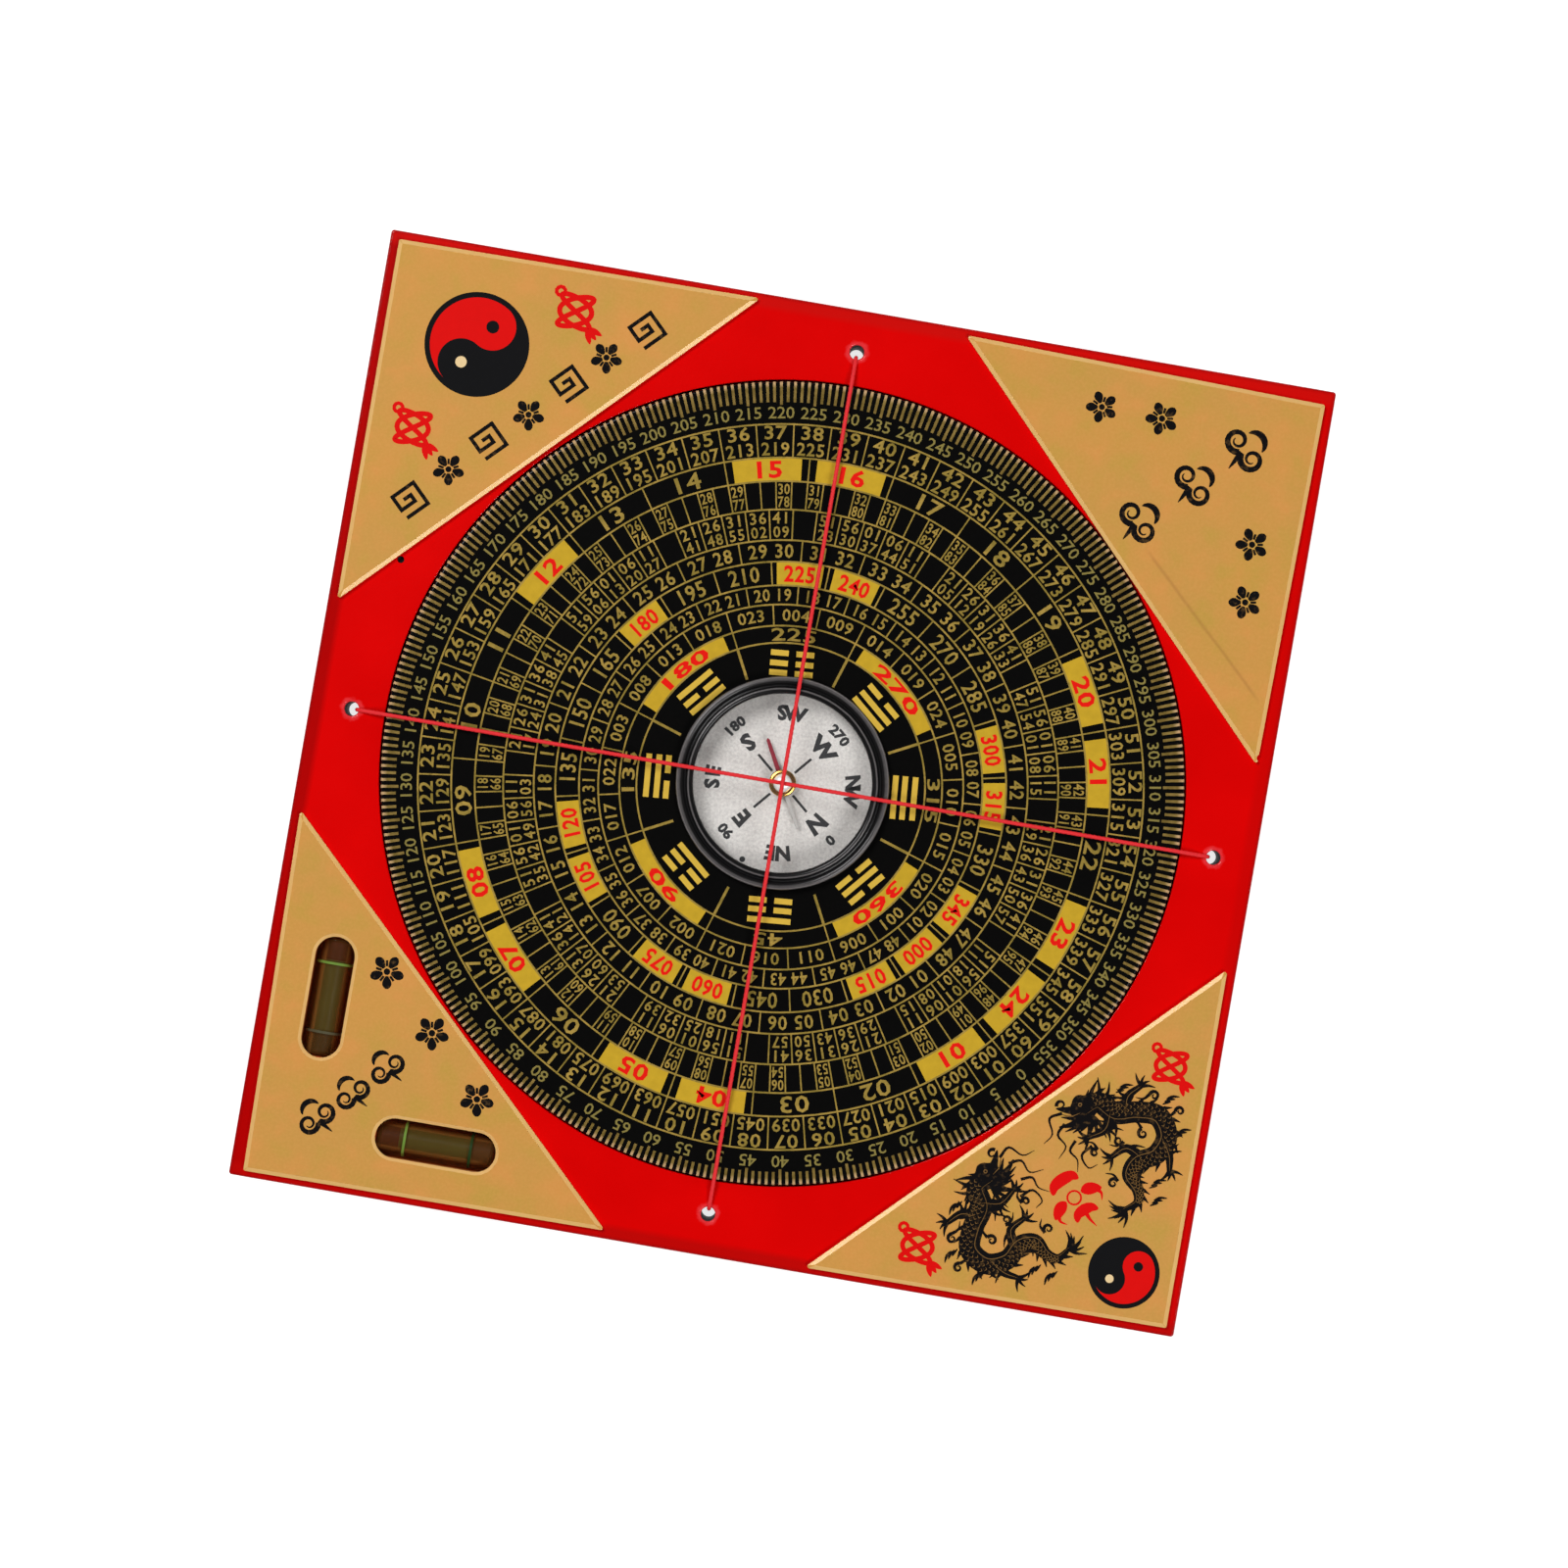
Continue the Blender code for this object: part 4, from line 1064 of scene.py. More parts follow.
# plain numbers fill the cells, red ones where a cell is filled with gold
def makeDialNumbers():
    rows = dialPrint["numbers"]
    gold, red = [], []
    for cell in range(60):
        gold.append((f"{cell + 1:02d}", 6 * cell + 3, rows["count"]))
        gold.append((f"{6 * cell + 3:03d}", 6 * cell + 3, rows["angle"]))
    for cell in range(72):
        if cell % 6 != 3:
            gold.append((f"{(cell * 5) % 60 + 1:02d}", 5 * cell, rows["fives"]))
            gold.append((f"{(cell * 7) % 60 + 1:02d}", 5 * cell, rows["sevens"]))
    for cell in range(24):
        for place in (0, 3):
            number, turn = 2 * cell + (place > 0), 15 * cell + 3 * place + 1.5
            gold.append((f"{number + 1:02d}", turn, rows["firstHalf"]))
            gold.append((f"{number + 49:02d}", turn, rows["secondHalf"]))
        for shift in (-3.2, 3.2):
            number, turn = 2 * cell + (shift > 0) + 1, 15 * cell + 7.5 + shift
            gold.append((f"{number:02d}", turn, rows["rising"]))
            gold.append((f"{49 - number:02d}", turn, rows["falling"]))
        gold.append((f"{(cell * 5) % 24 + 1:03d}", 15 * cell, rows["inner"]))
        filled = 15 * cell + 7.5 in dialPrint["outerCells"][3]
        (red if filled else gold).append((f"{cell + 1:02d}", 15 * cell + 7.5, rows["outerCells"]))
        filled = 15 * cell in dialPrint["innerCells"][3]
        (red if filled else gold).append((f"{15 * cell:03d}", 15 * cell, rows["innerCells"]))
    for cell in range(8):
        row = rows["corners" if cell % 2 else "sectors"]
        (gold if cell % 2 else red).append((str(45 * cell or 360), 45 * cell, row))
    degrees = [(str(5 * mark), 5 * mark, rows["degrees"]) for mark in range(72)]
    for name, entries, finish, lift in (
        ("gold", gold, "goldPrint", "lineLift"), ("degree", degrees, "degreeGold", "lineLift"),
        ("red", red, "redInk", "redLift"),
    ):
        shape = lettering(entries, *printHeights(lift), dialPrint["boldness"][name])
        printOnDial(f"dial_{name}_numbers", shape, finish)


# three bars one over the other for each sign, whole or with a gap in the middle
def makeDialSigns():
    low, high = printHeights("barLift")
    whole, gap = dialPrint["signLength"] / 2, dialPrint["signGap"] / 2
    paths = []
    for index, sign in enumerate(dialPrint["signs"]):
        angle = math.radians(45 * index)
        out = np.array([math.sin(angle), math.cos(angle)])
        across = np.array([math.cos(angle), -math.sin(angle)])
        for radius, solid in zip(dialPrint["signRadii"], sign):
            for start, end in [(-whole, whole)] if solid else [(-whole, -gap), (gap, whole)]:
                paths.append([out * radius + across * start, out * radius + across * end])
    printOnDial("dial_signs", ribbons(paths, dialPrint["signWidth"] / 2, low, high), "brightGold")


for make in (makeDial, makeDialLines, makeDialTicks, makeDialGrounds, makeDialNumbers, makeDialSigns):
    make()
print("dial is printed")


capsule = {
    "bezelInner": 14.0, "bezelOuter": 16.7, "bezelFoot": 12.8, "lipBottom": 13.9, "rebate": 15.9,
    # the bezel's turned top from window to outer wall: share of its width, height
    "bezelShape": (
        (0.0, 14.25), (0.02, 14.45), (0.08, 14.62), (0.18, 14.72), (0.3, 14.7), (0.37, 14.55),
        (0.43, 14.36), (0.5, 14.36), (0.57, 14.5), (0.65, 14.7), (0.75, 14.79), (0.85, 14.77),
        (0.93, 14.66), (0.98, 14.45), (1.0, 14.2),
    ),
    "caseRadius": 15.6, "caseInner": 14.4, "caseBottom": 4.8, "caseTop": 11.9, "cardBottom": 8.1,
    "cardTop": 8.6, "cardRadius": 14.1, "cardRound": 0.08, "pinHole": 0.75, "segments": 128,
    "caseRound": 0.4, "lensRadius": 15.3, "lensBottom": 12.2, "lensTop": 13.6, "lensRound": 0.3,
    # the card's print: its height, the cross's two radii and half width, and a small round mark
    "printSunk": 0.02, "printLift": 0.02, "cross": (2.5, 5.9), "crossHalf": 0.2,
    "mark": (12.5, 5.1), "markRadius": 0.46, "boldness": 0.05, "floorGap": 0.05,
    # its rows of letters, as the dial's are
    "corner": (11.1, 2.15, 1.0, 0.94), "degrees": (11.7, 1.5, 1.1, 0.82), "main": (8.4, 2.5, 1.0, 1.0),
}
needle = {
    "turn": 28.2, "bottom": 10.0, "top": 10.2, "half": 7.5, "rootWidth": 0.72, "tipWidth": 0.56,
    "ringInner": 1.5, "ringOuter": 2.0, "armStart": 1.8, "tipLength": 0.35, "bevel": 0.06,
    # the cap from its inner cone out, up to the crown and in under the jewel
    "capProfile": (
        (0.0, 11.2), (0.9, 9.7), (1.2, 9.7), (1.2, 10.5), (2.08, 10.5), (2.15, 10.57), (2.15, 10.78),
        (2.1, 10.92), (1.98, 11.0), (1.72, 11.03), (1.45, 11.02), (0.0, 11.02),
    ),
    "jewelProfile": (
        (0.0, 10.8), (1.46, 10.8), (1.46, 11.05), (1.36, 11.3), (1.12, 11.5), (0.75, 11.63),
        (0.36, 11.69), (0.0, 11.7),
    ),
}


# a smooth line through a profile's points, each coordinate a cubic of the four nearest points
def smoothed(points, steps=4):
    points = np.array(points, float)
    padded = np.concatenate([2 * points[:1] - points[1:2], points, 2 * points[-1:] - points[-2:-1]])
    share = np.linspace(0, 1, steps, endpoint=False)[None, :, None]
    a, b, c, d = (padded[index:index + len(points) - 1, None] for index in range(4))
    curve = 2 * a - 5 * b + 4 * c - d + share * (3 * (b - c) + d - a)
    line = b + 0.5 * share * (c - a + share * curve)
    return np.concatenate([line.reshape(-1, points.shape[1]), points[-1:]])


def inCapsule(name, profile, finish, replaced, meets=True):
    shape = turnedBy(lathed(profile, capsule["segments"], meets), dial["turn"])
    makePiece(name, shape, finishes[finish], "dial", [replaced], weld=not meets)


# bezel, lens, case and card are profiles carried round Z
def makeCapsule():
    inner, outer = capsule["bezelInner"], capsule["bezelOuter"]
    wide = outer - inner
    top = smoothed([(inner + share * wide, height) for share, height in capsule["bezelShape"]])
    lip, foot, rebate = capsule["lipBottom"], capsule["bezelFoot"], capsule["rebate"]
    under = [(inner, lip), (rebate, lip), (rebate, foot), (outer, foot)]
    inCapsule("turned_bezel", under + top[::-1].tolist(), "bezel", "bezel_ring")

    def sizesOf(part):
        return (capsule[part + name] for name in ("Radius", "Bottom", "Top", "Round"))

    radius, low, high, soft = sizesOf("lens")
    profile = [(0, low)] + quarter((radius - soft, low), (radius, low + soft), 3, True)
    profile += quarter((radius, high - soft), (radius - soft, high), 3) + [(0, high)]
    inCapsule("window_lens", profile, "lens", "lens", False)
    radius, low, high, soft = sizesOf("case")
    # the case's floor stands just under the card
    floor = capsule["cardBottom"] - capsule["floorGap"]
    wall, hole = capsule["caseInner"], capsule["pinHole"]
    profile = [(hole, low)] + quarter((radius - soft, low), (radius, low + soft), 3, True)
    profile += [(radius, high), (wall, high), (wall, floor), (hole, floor)]
    inCapsule("moulded_case", profile, "case", "capsule_case")
    radius, low, high, soft = sizesOf("card")
    profile = [(hole, low), (radius, low), (radius, high - soft), (radius - soft, high), (hole, high)]
    inCapsule("silver_card", profile, "card", "compass_card")
    makeCardPrint()


# the card's numbers and directions stand round its rim, their tops outwards, with a cross of four
# bars inside them
def makeCardPrint():
    low, high = capsule["cardTop"] - capsule["printSunk"], capsule["cardTop"] + capsule["printLift"]
    entries = []
    for index, letters in enumerate(("N", "NE", "E", "SE", "S", "SW", "W", "NW")):
        if index % 2:
            entries.append((letters, 45 * index, capsule["corner"]))
        else:
            entries.append((str(45 * index), 45 * index, capsule["degrees"]))
            entries.append((letters, 45 * index, capsule["main"]))
    letters = lettering(entries, low, high, capsule["boldness"])
    ends = [around(radius, np.arange(4) * 90) for radius in capsule["cross"]]
    cross = ribbons(np.stack(ends, 1), capsule["crossHalf"], low, high)
    dot = slab(around(capsule["markRadius"], -np.arange(16) * 22.5) + capsule["mark"], low, high)
    shape = turnedBy(joined(letters, dot, cross), dial["turn"])
    makePiece("card_print", shape, finishes["greyInk"], "dial")


# two pointed arms with bevelled tops, the bare one with the ring that holds the cap
def makeNeedle():
    low, high = needle["bottom"], needle["top"]
    root, tip = needle["rootWidth"] / 2, needle["tipWidth"] / 2
    start, end = needle["armStart"], needle["half"]
    neck = end - needle["tipLength"]
    arm = np.array([(-root, start), (root, start), (tip, neck), (0.0, end), (-tip, neck)])
    inset = arm * (0.82, 0.99) + (0, 0.03)
    shoulder = high - needle["bevel"]
    blade = stacked([atHeight(arm, low), atHeight(arm, shoulder), atHeight(inset, high)])
    inner, outer = needle["ringInner"], needle["ringOuter"]
    ring = [(inner, low), (outer, low), (outer, high), (inner, high)]
    red = turnedBy(blade, needle["turn"])
    bare = turnedBy(joined(turnedBy(blade, 180), lathed(ring, 40)), needle["turn"])
    makePiece("needle_red_arm", red, finishes["needleRed"], "needle", ["needle"])
    makePiece("needle_bare_arm", bare, finishes["bareNeedle"], "needle")
    for name, profile, finish, replaced in (
        ("brass_cap", "capProfile", "brass", ["needle_cap"]),
        ("cap_jewel", "jewelProfile", "jewel", ()),
    ):
        shape = lathed(needle[profile], 48, False)
        makePiece(name, shape, finishes[finish], "needle", replaced, 45, True)


makeCapsule()
makeNeedle()
print("capsule and needle are made")


threads = {
    "radius": 0.33, "plies": 3, "pitch": 2.2, "ply": 0.16, "bend": 0.6, "crossingLift": 0.86,
    "spacing": 0.2, "around": 12,
    # half the route, from the crossing to the knot: distance along, height
    "route": (
        (0, 15.4), (16.7, 15.4), (62.8, 13.4), (66.7, 12.5), (67.58, 12.0), (67.58, 2.15),
        (63.8, 2.15),
    ),
    "knotRadius": 0.5, "knotTube": 0.3, "knotSegments": 72, "knotAround": 10,
}


# each inner corner of a route gives way to a parabola between points at the bend's length from it
def softened(corners, bend, steps=6):
    corners = np.array(corners, float)
    route = [corners[:1]]
    share = np.linspace(0, 1, steps + 1)[:, None]
    for before, corner, after in zip(corners, corners[1:], corners[2:]):
        back, ahead = before - corner, after - corner
        reach = min(bend, np.linalg.norm(back) / 2, np.linalg.norm(ahead) / 2)
        start = corner + back / np.linalg.norm(back) * reach
        end = corner + ahead / np.linalg.norm(ahead) * reach
        route.append((1 - share) ** 2 * start + 2 * share * (1 - share) * corner + share ** 2 * end)
    route.append(corners[-1:])
    return np.concatenate(route)


# points at even steps along a line
def spaced(line, step):
    run = np.concatenate([[0], np.cumsum(np.linalg.norm(np.diff(line, axis=0), axis=1))])
    places = np.linspace(0, run[-1], int(run[-1] / step) + 1)
    return np.stack([np.interp(places, run, column) for column in line.T], -1), places


# a tube of twisted plies round a path in the XZ plane: the radius is smaller by a share of
# 1 - |cos(half the plies times (angle - twist along))|
def pliedTube(path, places):
    ahead = np.gradient(path, axis=0)
    ahead /= np.linalg.norm(ahead, axis=1, keepdims=True)
    side = np.broadcast_to(np.array([0, 1.0, 0]), path.shape)
    up = np.cross(ahead, side)
    angle = np.linspace(0, fullTurn, threads["around"], endpoint=False)
    twist = places[:, None] / threads["pitch"] * fullTurn
    wave = 1 - abs(np.cos(threads["plies"] / 2 * (angle - twist)))
    radius = (threads["radius"] * (1 - threads["ply"] * wave))[..., None]
    return stacked((path[:, None] + radius * circled(angle, side, up))[:, ::-1])


# for each angle, cos a along the side and sin a upwards, round every point of a path
def circled(angle, side, up):
    return np.cos(angle)[:, None] * side[:, None] + np.sin(angle)[:, None] * up[:, None]


# an overhand knot: x = 1.1 r (sin t + 2 sin 2t) / 3, y = 1.1 r (cos t - 2 cos 2t) / 3 and
# z = -r sin(3t) / 2
def knotShape():
    turn = np.linspace(0, fullTurn, threads["knotSegments"], endpoint=False)[:, None]
    reach = threads["knotRadius"]

    def line(t):
        return reach * np.concatenate([
            (np.sin(t) + 2 * np.sin(2 * t)) / 3 * 1.1, (np.cos(t) - 2 * np.cos(2 * t)) / 3 * 1.1,
            -np.sin(3 * t) / 2,
        ], 1)

    path = line(turn)
    ahead = line(turn + 0.01) - line(turn - 0.01)
    ahead /= np.linalg.norm(ahead, axis=1, keepdims=True)
    side = np.cross(ahead, [0, 0, 1.0])
    side /= np.linalg.norm(side, axis=1, keepdims=True)
    up = np.cross(side, ahead)
    angle = np.linspace(0, fullTurn, threads["knotAround"], endpoint=False)
    return stacked((path[:, None] + threads["knotTube"] * circled(angle, side, up))[:, ::-1], True)


# a thread lies along X and is turned to its place; its route is the half one and its mirror image
def makeThread(name, degrees, lift):
    half = [(along, height + (lift if along == 0 else 0)) for along, height in threads["route"]]
    corners = [(-along, height) for along, height in reversed(half)] + half[1:]
    line, places = spaced(softened(corners, threads["bend"]), threads["spacing"])
    path = np.stack([line[:, 0], 0 * line[:, 0], line[:, 1]], -1)
    end = threads["route"][-1]
    knots = [movedBy(knotShape(), side * end[0], 0, end[1]) for side in (-1, 1)]
    shape = turnedBy(joined(pliedTube(path, places), *knots), degrees)
    makePiece(
        f"plied_{name}", shape, finishes["thread"], "board", [name], sharpAngle=60,
    )


makeThread("sight_thread_x", 0, 0)
makeThread("sight_thread_y", 90, threads["crossingLift"])
print("threads are stretched")


# a shape made along Z is laid along X, or along Y
def laid(shape, name):
    x, y, z = shape[0].T
    points = np.stack([z, y, -x] if name == "x" else [x, z, -y], -1)
    return movedBy((points, shape[1]), *vials["places"][name], vials["height"])


# the tube, the liquid, the two ring marks and the two plugs are profiles carried round the vial's own
# line; the bubble is a rod with half balls for ends
def makeVial(name, ends):
    outer, bore, half, cut = vials["radius"], vials["bore"], vials["length"] / 2, vials["chamfer"]

    def add(part, shape, finish, replaced=(), body="board", weld=True):
        shape = laid(shape, name)
        makePiece(f"vial_{name}_{part}", shape, finishes[finish], body, replaced, 40, weld)

    tube = [(bore, -half)] + quarter((outer - cut, -half), (outer, -half + cut), 3, True)
    tube += quarter((outer, half - cut), (outer - cut, half), 3) + [(bore, half)]
    add("glass", lathed(tube, 48), "tube", [f"vial_{name}_tube"], weld=False)
    radius, reach = vials["liquidRadius"], vials["liquidHalf"]
    add("fluid", punch(radius, -reach, reach, 48), "liquid", [f"vial_{name}_liquid"])
    low, high, wide = outer - vials["ringSunk"], outer + vials["ringLift"], vials["ringHalf"]
    ring = lathed([(low, -wide), (high, -wide), (high, wide), (low, wide)], 48)
    shades = vials["ringShades"][name]
    for mark, place, shade in zip(("bright", "dark"), vials["marks"][name], shades):
        add(f"ring_{mark}", movedBy(ring, 0, 0, place), shade, weld=False)
    for side, end, shade in zip((-1, 1), ends, vials["plugShades"][name]):
        tip = side * (half - vials["plugInset"])
        inner, shoulder = tip - side * vials["plugLength"], tip - side * cut
        plug = [(0, inner), (radius, inner), (radius, shoulder), (radius - cut, tip), (0, tip)]
        shape = lathed(plug[::side], 40, False)
        add(f"stopper_{end}", shape, shade, [f"vial_{name}_plug_{end}"])
    steps = np.linspace(-math.pi / 2, math.pi / 2, 25)
    small, run = vials["bubbleRadius"], vials["bubbleLength"] / 2 - vials["bubbleRadius"]
    profile = np.stack([small * np.cos(steps), small * np.sin(steps) + np.sign(steps) * run], -1)
    profile[0, 0] = profile[-1, 0] = 0
    rise = -vials["bubbleRise"]
    bubble = movedBy(lathed(profile, 32, False), *((rise, 0) if name == "x" else (0, rise)))
    body = f"vial_{name}_bubble"
    add("air", bubble, "bubble", [body], body)


makeVial("x", ("left", "right"))
makeVial("y", ("front", "back"))
print("levels are filled")


ornaments = {
    "sunk": 0.02, "lift": 0.02, "layer": 0.0006, "bodyWidth": 3.5, "markLift": 0.1,
    # centre, radius, angle of the axis to the red head, side on which the red body lies, outline, eye
    "discs": {
        "back_left": ((-58.73, 59.42), 8.2, 57.3, 1, 0.84, 1.0),
        "front_right": ((65.59, -66.29), 5.6, 32.1, -1, 0.72, 0.74),
    },
    # how far the discs' ground and halves, and each eye, stand over the plate
    "discLifts": {"ground": 0.02, "red": 0.035, "dark_eye": 0.05, "pale_eye": 0.035},
    # ink and plate: the figures' turn, then each figure, x, y and size; every one stands where the
    # plate has a mark of that size and colour
    "marks": {
        ("black", "back_left"): (
            45, ("fret", -32.84, 66.07, 4.0), ("blossom", -38.44, 60.84, 5.0),
            ("fret", -43.5, 55.72, 4.0), ("blossom", -48.9, 49.98, 5.0), ("fret", -54.34, 44.81, 4.0),
            ("blossom", -59.79, 39.44, 5.0), ("fret", -64.85, 33.65, 4.0),
        ),
        ("black", "back_right"): (
            -45, ("cloud", 62.4, 63.68, 7.4), ("cloud", 55.38, 56.93, 7.0),
            ("cloud", 47.89, 49.79, 7.0), ("blossom", 39.16, 66.43, 5.0),
            ("blossom", 48.73, 66.24, 5.2), ("blossom", 65.94, 49.22, 5.2),
            ("blossom", 66.42, 40.14, 5.2),
        ),
        ("black", "front_left"): (
            45, ("blossom", -55.88, -39.55, 5.4), ("blossom", -47.31, -47.82, 5.4),
            ("blossom", -38.63, -56.81, 5.4), ("cloud", -53.32, -54.35, 5.8),
            ("cloud", -57.98, -59.2, 5.8), ("cloud", -62.87, -63.86, 6.2),
        ),
        ("black", "front_right"): (
            0, ("dragon", 60.4, -45.7, 0.96), ("dragonTurned", 45.7, -60.4, 0.96),
        ),
        ("red", "back_left"): (45, ("knot", -44.4, 67.1, 9.4), ("knot", -66.4, 44.9, 9.2)),
        ("red", "front_right"): (
            45, ("knot", 67.3, -33.3, 8.6), ("knot", 33.1, -67.7, 8.8),
            ("flame", 55.95, -56.05, 8.3),
        ),
        ("gold", "front_right"): (
            0, ("scales", 60.4, -45.7, 0.96), ("scalesTurned", 45.7, -60.4, 0.96),
        ),
    },
}


# Every figure below is a list of strokes: path, width and how the width runs along it. Except for the
# dragon's they are drawn one unit high.


# a square line that winds in on itself
def fretFigure():
    square = [(-0.5, -0.5), (0.5, -0.5), (0.5, 0.5), (-0.5, 0.5)]
    return [(square + [(-0.5, -0.13), (0.14, -0.13), (0.14, 0.16), (-0.2, 0.16)], 0.15, "even")]


# five petals round a dot, and a short ray between each two
def blossomFigure():
    strokes = [(around(0.05, np.arange(0, 360, 40)), 0.09, "ring")]
    for turn in range(0, 360, 72):
        strokes.append((np.linspace(0.13, 0.5, 9)[:, None] * around(1.0, [turn]), 0.27, "petal"))
        strokes.append((np.linspace(0.16, 0.33, 3)[:, None] * around(1.0, [turn + 36]), 0.07, "even"))
    return strokes


# a knot woven of one line, x + y = sin 2a and x - y = sin 3a, with a loop above and a tassel below
def knotFigure():
    angle = np.linspace(0, fullTurn, 120, endpoint=False)
    across, up = 0.5 * np.sin(2 * angle), 0.5 * np.sin(3 * angle)
    weave = np.stack([across - up, across + up], -1) * 0.38
    loop = around(0.075, np.arange(0, 360, 36)) + (0, 0.42)
    strokes = [(weave, 0.085, "ring"), (loop, 0.06, "ring")]
    for lean in (-0.12, 0.0, 0.12):
        strokes.append((smoothed([(0, -0.34), (lean * 0.5, -0.44), (lean, -0.58)]), 0.1, "swell"))
    return strokes


# a curl: the radius changes evenly from start to end while the angle runs on
def curl(centre, first, turns, start, end, steps=26):
    share = np.linspace(0, 1, steps)
    angle = first + fullTurn * turns * share
    radius = start + (end - start) * share
    return np.stack([centre[0] + radius * np.cos(angle), centre[1] + radius * np.sin(angle)], -1)


# two curls side by side, with an arch over them and a foot
def cloudFigure():
    right = curl((0.25, -0.02), -2.6, 1.4, 0.25, 0.07)
    arch = curl((0, 0.2), 0.2, 0.43, 0.25, 0.25, 12)
    foot = np.stack([np.linspace(0, 0.12, 8), np.linspace(-0.1, -0.52, 8)], -1)
    curls = [(right * (side, 1), 0.14, "tail") for side in (1, -1)]
    return curls + [(arch, 0.14, "swell"), (foot, 0.15, "tail")]


# flames round a small ring: an arch above, a lick to each side, and an arch with a tail below
def flameFigure():
    strokes = [(around(0.13, np.arange(0, 360, 20)), 0.035, "ring")]
    for path, width, way in (
        ([(-0.3, 0.26), (-0.19, 0.38), (0.0, 0.41), (0.2, 0.37), (0.27, 0.25)], 0.23, "swell"),
        ([(-0.22, -0.42), (-0.13, -0.31), (0.02, -0.29), (0.16, -0.33), (0.25, -0.43)], 0.21, "swell"),
        ([(0.02, -0.34), (0.01, -0.5), (0.04, -0.68)], 0.09, "tail"),
    ):
        strokes.append((smoothed(path), width, way))
    for side in (-1, 1):
        lick = smoothed([(0.17, 0.02), (0.33, -0.02), (0.53, -0.14)])
        thin = smoothed([(0.44, -0.12), (0.47, -0.22), (0.4, -0.34)])
        strokes += [(lick * (side, 1), 0.23, "swell"), (thin * (side, 1), 0.08, "tail")]
    return strokes


# strokes that fan out from a root, step by step clockwise from the first, each bending to one side
def tuft(root, first, step, count, reach, bend, width):
    strokes = []
    for index in range(count):
        way, bow = around(1.0, [first + step * index])[0], around(1.0, [first + step * index + 75])[0]
        far = reach * (1 + 0.25 * math.sin(2.3 * index + 1))
        points = [root, root + way * far * 0.55, root + way * far + bow * bend]
        strokes.append((smoothed(points), width, "tail"))
    return strokes


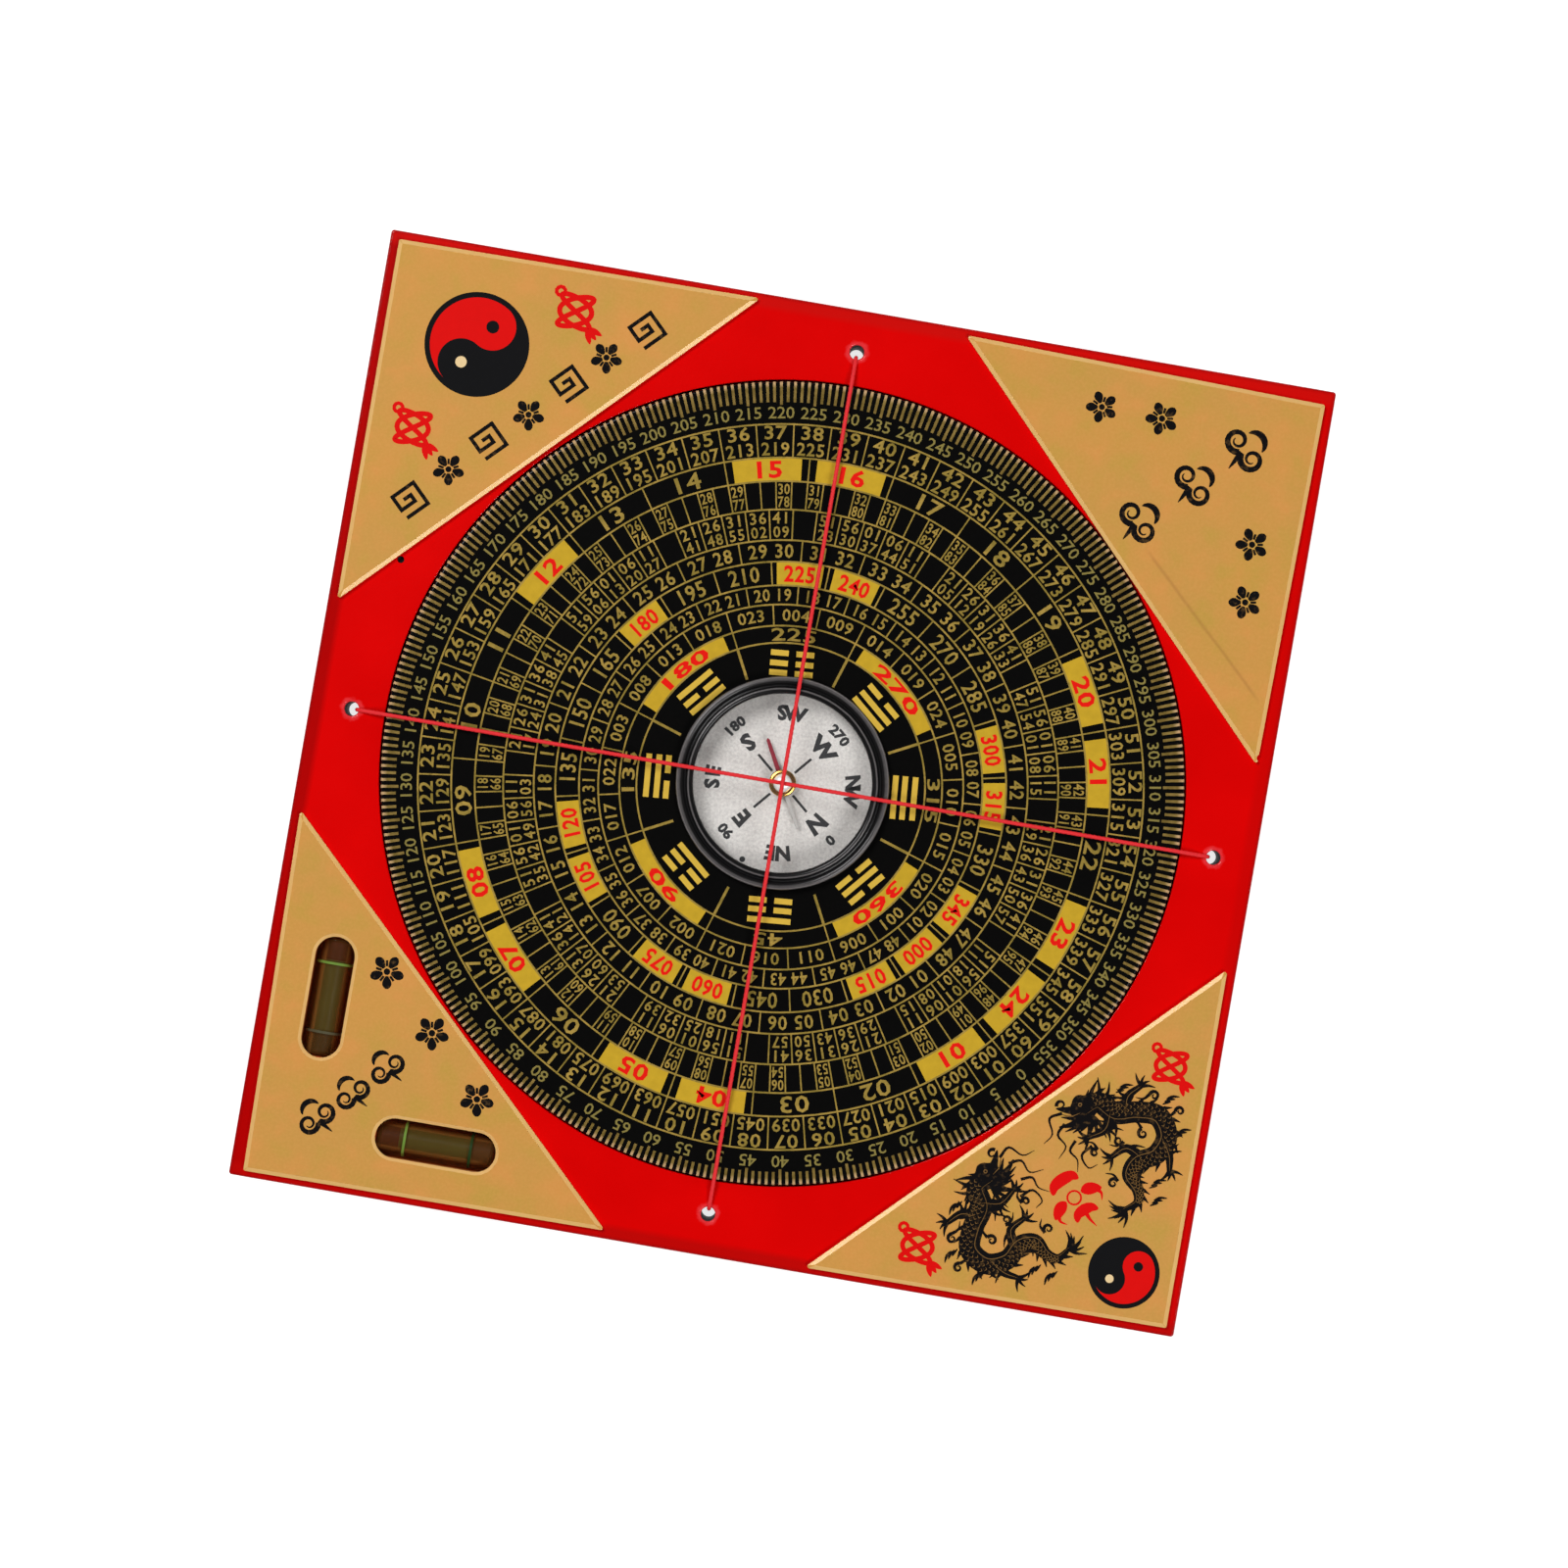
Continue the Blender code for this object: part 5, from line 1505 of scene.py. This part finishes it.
# A dragon of brush strokes, in millimetres from its middle: one winding body with spines along its
# back, and limbs, claws, head, horns, mane, whiskers, a tail tuft and clouds; the strokes of its
# scales, belly and eye come second
def dragonFigure():
    spine = smoothed([
        (-5.6, 3.4), (-3.4, 5.2), (-0.4, 3.9), (3.0, 4.7), (6.6, 4.6), (8.5, 1.6), (7.3, -1.6),
        (4.5, -3.2), (3.6, -5.6), (5.3, -7.7), (5.6, -9.8), (3.6, -11.4),
    ], 7)
    ahead = np.gradient(spine, axis=0)
    ahead /= np.linalg.norm(ahead, axis=1, keepdims=True)
    side = np.stack([-ahead[:, 1], ahead[:, 0]], -1)
    half = ornaments["bodyWidth"] / 2 * bodySwell(np.linspace(0, 1, len(spine)))
    strokes = [(spine, ornaments["bodyWidth"], "body")]
    marks = [(spine - side * half[:, None] * 0.5, 0.14, "swell")]

    def at(place, reach):
        return spine[place] + side[place] * half[place] * reach

    for place in range(4, len(spine) - 3, 3):
        tip = at(place, 1.0) + side[place] * 0.8 + ahead[place] * 0.9
        strokes.append(([at(place, 0.5), at(place, 1.0), tip], 1.0, "tail"))
    for place in range(5, len(spine) - 8):
        for reach in (-0.1, 0.5) if place % 2 else (0.2, 0.75):
            middle, out, on = at(place, reach), side[place] * 0.3, ahead[place] * 0.3
            marks.append((smoothed([middle + out, middle + on, middle - out], 2), 0.13, "swell"))
    # start, knee, foot, way in which the claws point
    for start, knee, foot, turn in (
        ((-1.2, 4.0), (-1.6, 1.0), (-4.2, -0.8), 240), ((1.2, 4.6), (1.2, 7.0), (3.0, 9.0), 25),
        ((7.8, 1.2), (9.4, -1.4), (9.9, -3.9), 155), ((5.2, -2.6), (2.4, -1.4), (0.2, -3.2), 235),
    ):
        start, knee, foot = (np.array(point) for point in (start, knee, foot))
        strokes.append((smoothed([start, knee, foot]), 1.9, "limb"))
        strokes += tuft(foot, turn - 66, 40, 4, 1.8, 0.35, 0.72)
        strokes += tuft(knee, turn + 190, 30, 3, 2.3, 0.7, 0.75)
        marks.append((smoothed([start, knee, foot]), 0.12, "swell"))
    # skull, jaws, nose curl, brow and horns
    for path, width, way in (
        (((-3.2, 5.0), (-5.4, 4.0), (-7.8, 2.8)), 4.0, "swell"),
        (((-5.6, 3.6), (-7.8, 3.1), (-10.0, 3.0)), 2.0, "tail"),
        (((-5.4, 2.4), (-7.0, 0.9), (-9.0, 0.1)), 1.6, "tail"),
        (((-5.2, 5.2), (-6.6, 5.2), (-7.6, 4.2)), 1.3, "swell"),
        (((-4.6, 4.8), (-3.6, 6.8), (-4.2, 9.2)), 1.0, "tail"),
        (((-3.6, 5.2), (-2.2, 6.8), (-2.2, 8.8)), 0.9, "tail"),
        (((-8.9, 2.4), (-10.8, 1.2), (-9.9, -1.2), (-11.0, -3.0)), 0.5, "tail"),
        (((-8.2, 0.8), (-9.0, -1.2), (-7.4, -2.8), (-8.2, -5.0)), 0.5, "tail"),
        (((-3.2, -2.0), (-4.6, -3.8), (-3.2, -5.6), (-1.8, -4.8)), 0.5, "tail"),
        (((-6.0, -1.6), (-6.6, -3.4), (-5.2, -4.6), (-4.8, -6.6)), 0.5, "tail"),
    ):
        strokes.append((smoothed(path), width, way))
    strokes.append((curl((-9.3, 3.7), 3.6, -0.8, 0.8, 0.3, 12), 0.6, "tail"))
    marks += [(around(0.26, np.arange(0, 360, 45)) + (-6.3, 4.3), 0.16, "ring")]
    marks += [(smoothed([(-9.0, 2.2), (-7.4, 2.2), (-6.0, 3.0)]), 0.16, "swell")]
    # mane behind the skull, beard under it, chest and tail
    for root, *fan in (
        ((-4.6, 4.4), -6, 17, 5, 3.3, 0.9, 1.1), ((-4.6, 3.0), 122, 15, 9, 3.7, 1.0, 1.1),
        ((-0.6, 2.8), 150, 22, 5, 2.4, 0.8, 0.8), ((3.8, -11.2), 160, 19, 7, 2.3, 0.8, 0.8),
    ):
        strokes += tuft(np.array(root), *fan)
    # clouds: a curl that runs out in a wisp, and rows of short wisps
    for x, y, first, way, size in (
        (5.4, 7.8, 3.0, -1, 0.8), (9.9, 6.0, 3.4, -1, 0.75), (1.2, -7.4, 0.6, 1, 0.85),
        (4.6, 1.4, 2.0, 1, 0.85), (0.9, -0.4, 0.0, -1, 0.8), (-2.6, -3.0, 1.0, 1, 0.7),
    ):
        strokes.append((curl((x, y), first, way * 1.2, size, 0.18, 16), 0.6, "tail"))
        root = np.array([x + size * math.cos(first), y + size * math.sin(first)])
        wisp = [root, root + (-0.9, 0.9 * way), root + (-2.2, 0.9 * way)]
        strokes.append((smoothed(wisp), 0.55, "tail"))
    for x, y in ((7.6, -6.2), (8.2, -9.0), (7.4, 7.6), (-0.4, 8.2), (10.2, 2.6)):
        for row in range(3):
            root = np.array([x - 0.25 * row, y - 0.5 * row])
            wisp = [root, root + (0.9, 0.55), root + (2.1 - 0.4 * row, 0.7)]
            strokes.append((smoothed(wisp), 0.4, "swell"))
    return strokes, marks


# how wide a body is from its neck to its tail
def bodySwell(share):
    return 0.2 + 0.8 * np.clip(1.25 * (1 - share ** 2.2), 0, 1) * np.clip(0.75 + share * 2, 0, 1)


figures = {
    "fret": fretFigure(), "blossom": blossomFigure(), "knot": knotFigure(), "cloud": cloudFigure(),
    "flame": flameFigure(),
}
figures["dragon"], figures["scales"] = dragonFigure()
# the second dragon is the first one's mirror image across the plate's diagonal
for name in ("dragon", "scales"):
    turned = [(-np.array(path)[:, ::-1], width, way) for path, width, way in figures[name]]
    figures[name + "Turned"] = turned


# strokes as strips whose width is even, swells in its middle or shrinks to its tail; each lies a
# hair's breadth over the one before, and so does a line that crosses itself
def drawn(degrees, figure, x, y, size):
    low, high = plates["top"] - ornaments["sunk"], plates["top"] + ornaments["lift"]
    high += ornaments["markLift"] if "scales" in figure else 0
    shapes = []
    for index, (path, width, way) in enumerate(figures[figure]):
        path = np.asarray(path, float) * size
        share = np.linspace(0, 1, len(path))
        swell = {
            "even": 1.0, "ring": 1.0, "swell": 0.15 + 0.85 * np.sin(math.pi * share) ** 0.7,
            "petal": 0.3 + 0.7 * np.sin(math.pi * share ** 1.3) ** 0.8, "body": bodySwell(share),
            "tail": 0.1 + 0.9 * (1 - share) ** 0.8, "limb": 0.45 + 0.55 * (1 - share),
        }[way]
        slope = 0.02 * share[None, :, None] if way == "ring" else 0
        rise = high + index * ornaments["layer"] + slope
        shapes.append(ribbons(path[None], width * size / 2 * swell, low, rise, way == "ring"))
    return movedBy(turnedBy(joined(*shapes), degrees), x, y)


# A black disc under a red body: half of the inner circle, and two half circles of half its radius.
# Each half has an eye of the other's shade.
def makeDisc(name):
    centre, radius, degrees, side, outline, eye = ornaments["discs"][name]
    inner = radius - outline
    low = plates["top"] - ornaments["sunk"]
    axis = around(1.0, 90 - degrees)
    across = side * np.array([-axis[1], axis[0]])
    turn = np.linspace(0, math.pi, 40)[:, None]
    body = np.concatenate([
        inner * (-np.cos(turn) * axis + np.sin(turn) * across),
        (inner / 2 * ((1 + np.cos(turn)) * axis - np.sin(turn) * across))[1:],
        (inner / 2 * ((-1 + np.cos(turn)) * axis + np.sin(turn) * across))[1:-1],
    ])
    if side > 0:
        body = body[::-1]
    circle = around(1.0, -np.arange(72) * 5)
    # each part, its outline, how far along the axis it lies and its finish
    for part, points, place, finish in (
        ("ground", circle * radius, 0, "discBlack"), ("red", body, 0, "discRed"),
        ("dark_eye", circle[::3] * eye, 0.5, "discBlack"),
        ("pale_eye", circle[::3] * eye * 0.9, -0.5, "cream"),
    ):
        high = plates["top"] + ornaments["discLifts"][part]
        shape = slab(points + centre + axis * inner * place, low, high)
        makePiece(f"disc_{name}_{part}", shape, finishes[finish], "board")


for name in ornaments["discs"]:
    makeDisc(name)
inks = {"black": "brushInk", "red": "discRed", "gold": "markGold"}
for (ink, plate), (degrees, *marks) in ornaments["marks"].items():
    shape = joined(*(drawn(degrees, *mark) for mark in marks))
    makePiece(f"ornament_{ink}_{plate}", shape, finishes[inks[ink]], "board")
print("ornaments are printed")

# the pieces inside the dial keep their own shapes and get a finish
inside = {"hub_bush": "nylon", "pivot_pin": "steel"}
inside |= {f"hub_screw_{index}": "zinc" for index in (1, 2, 3)}
for name, finish in inside.items():
    for slot in bpy.data.objects[name].material_slots:
        slot.material = finishes[finish]
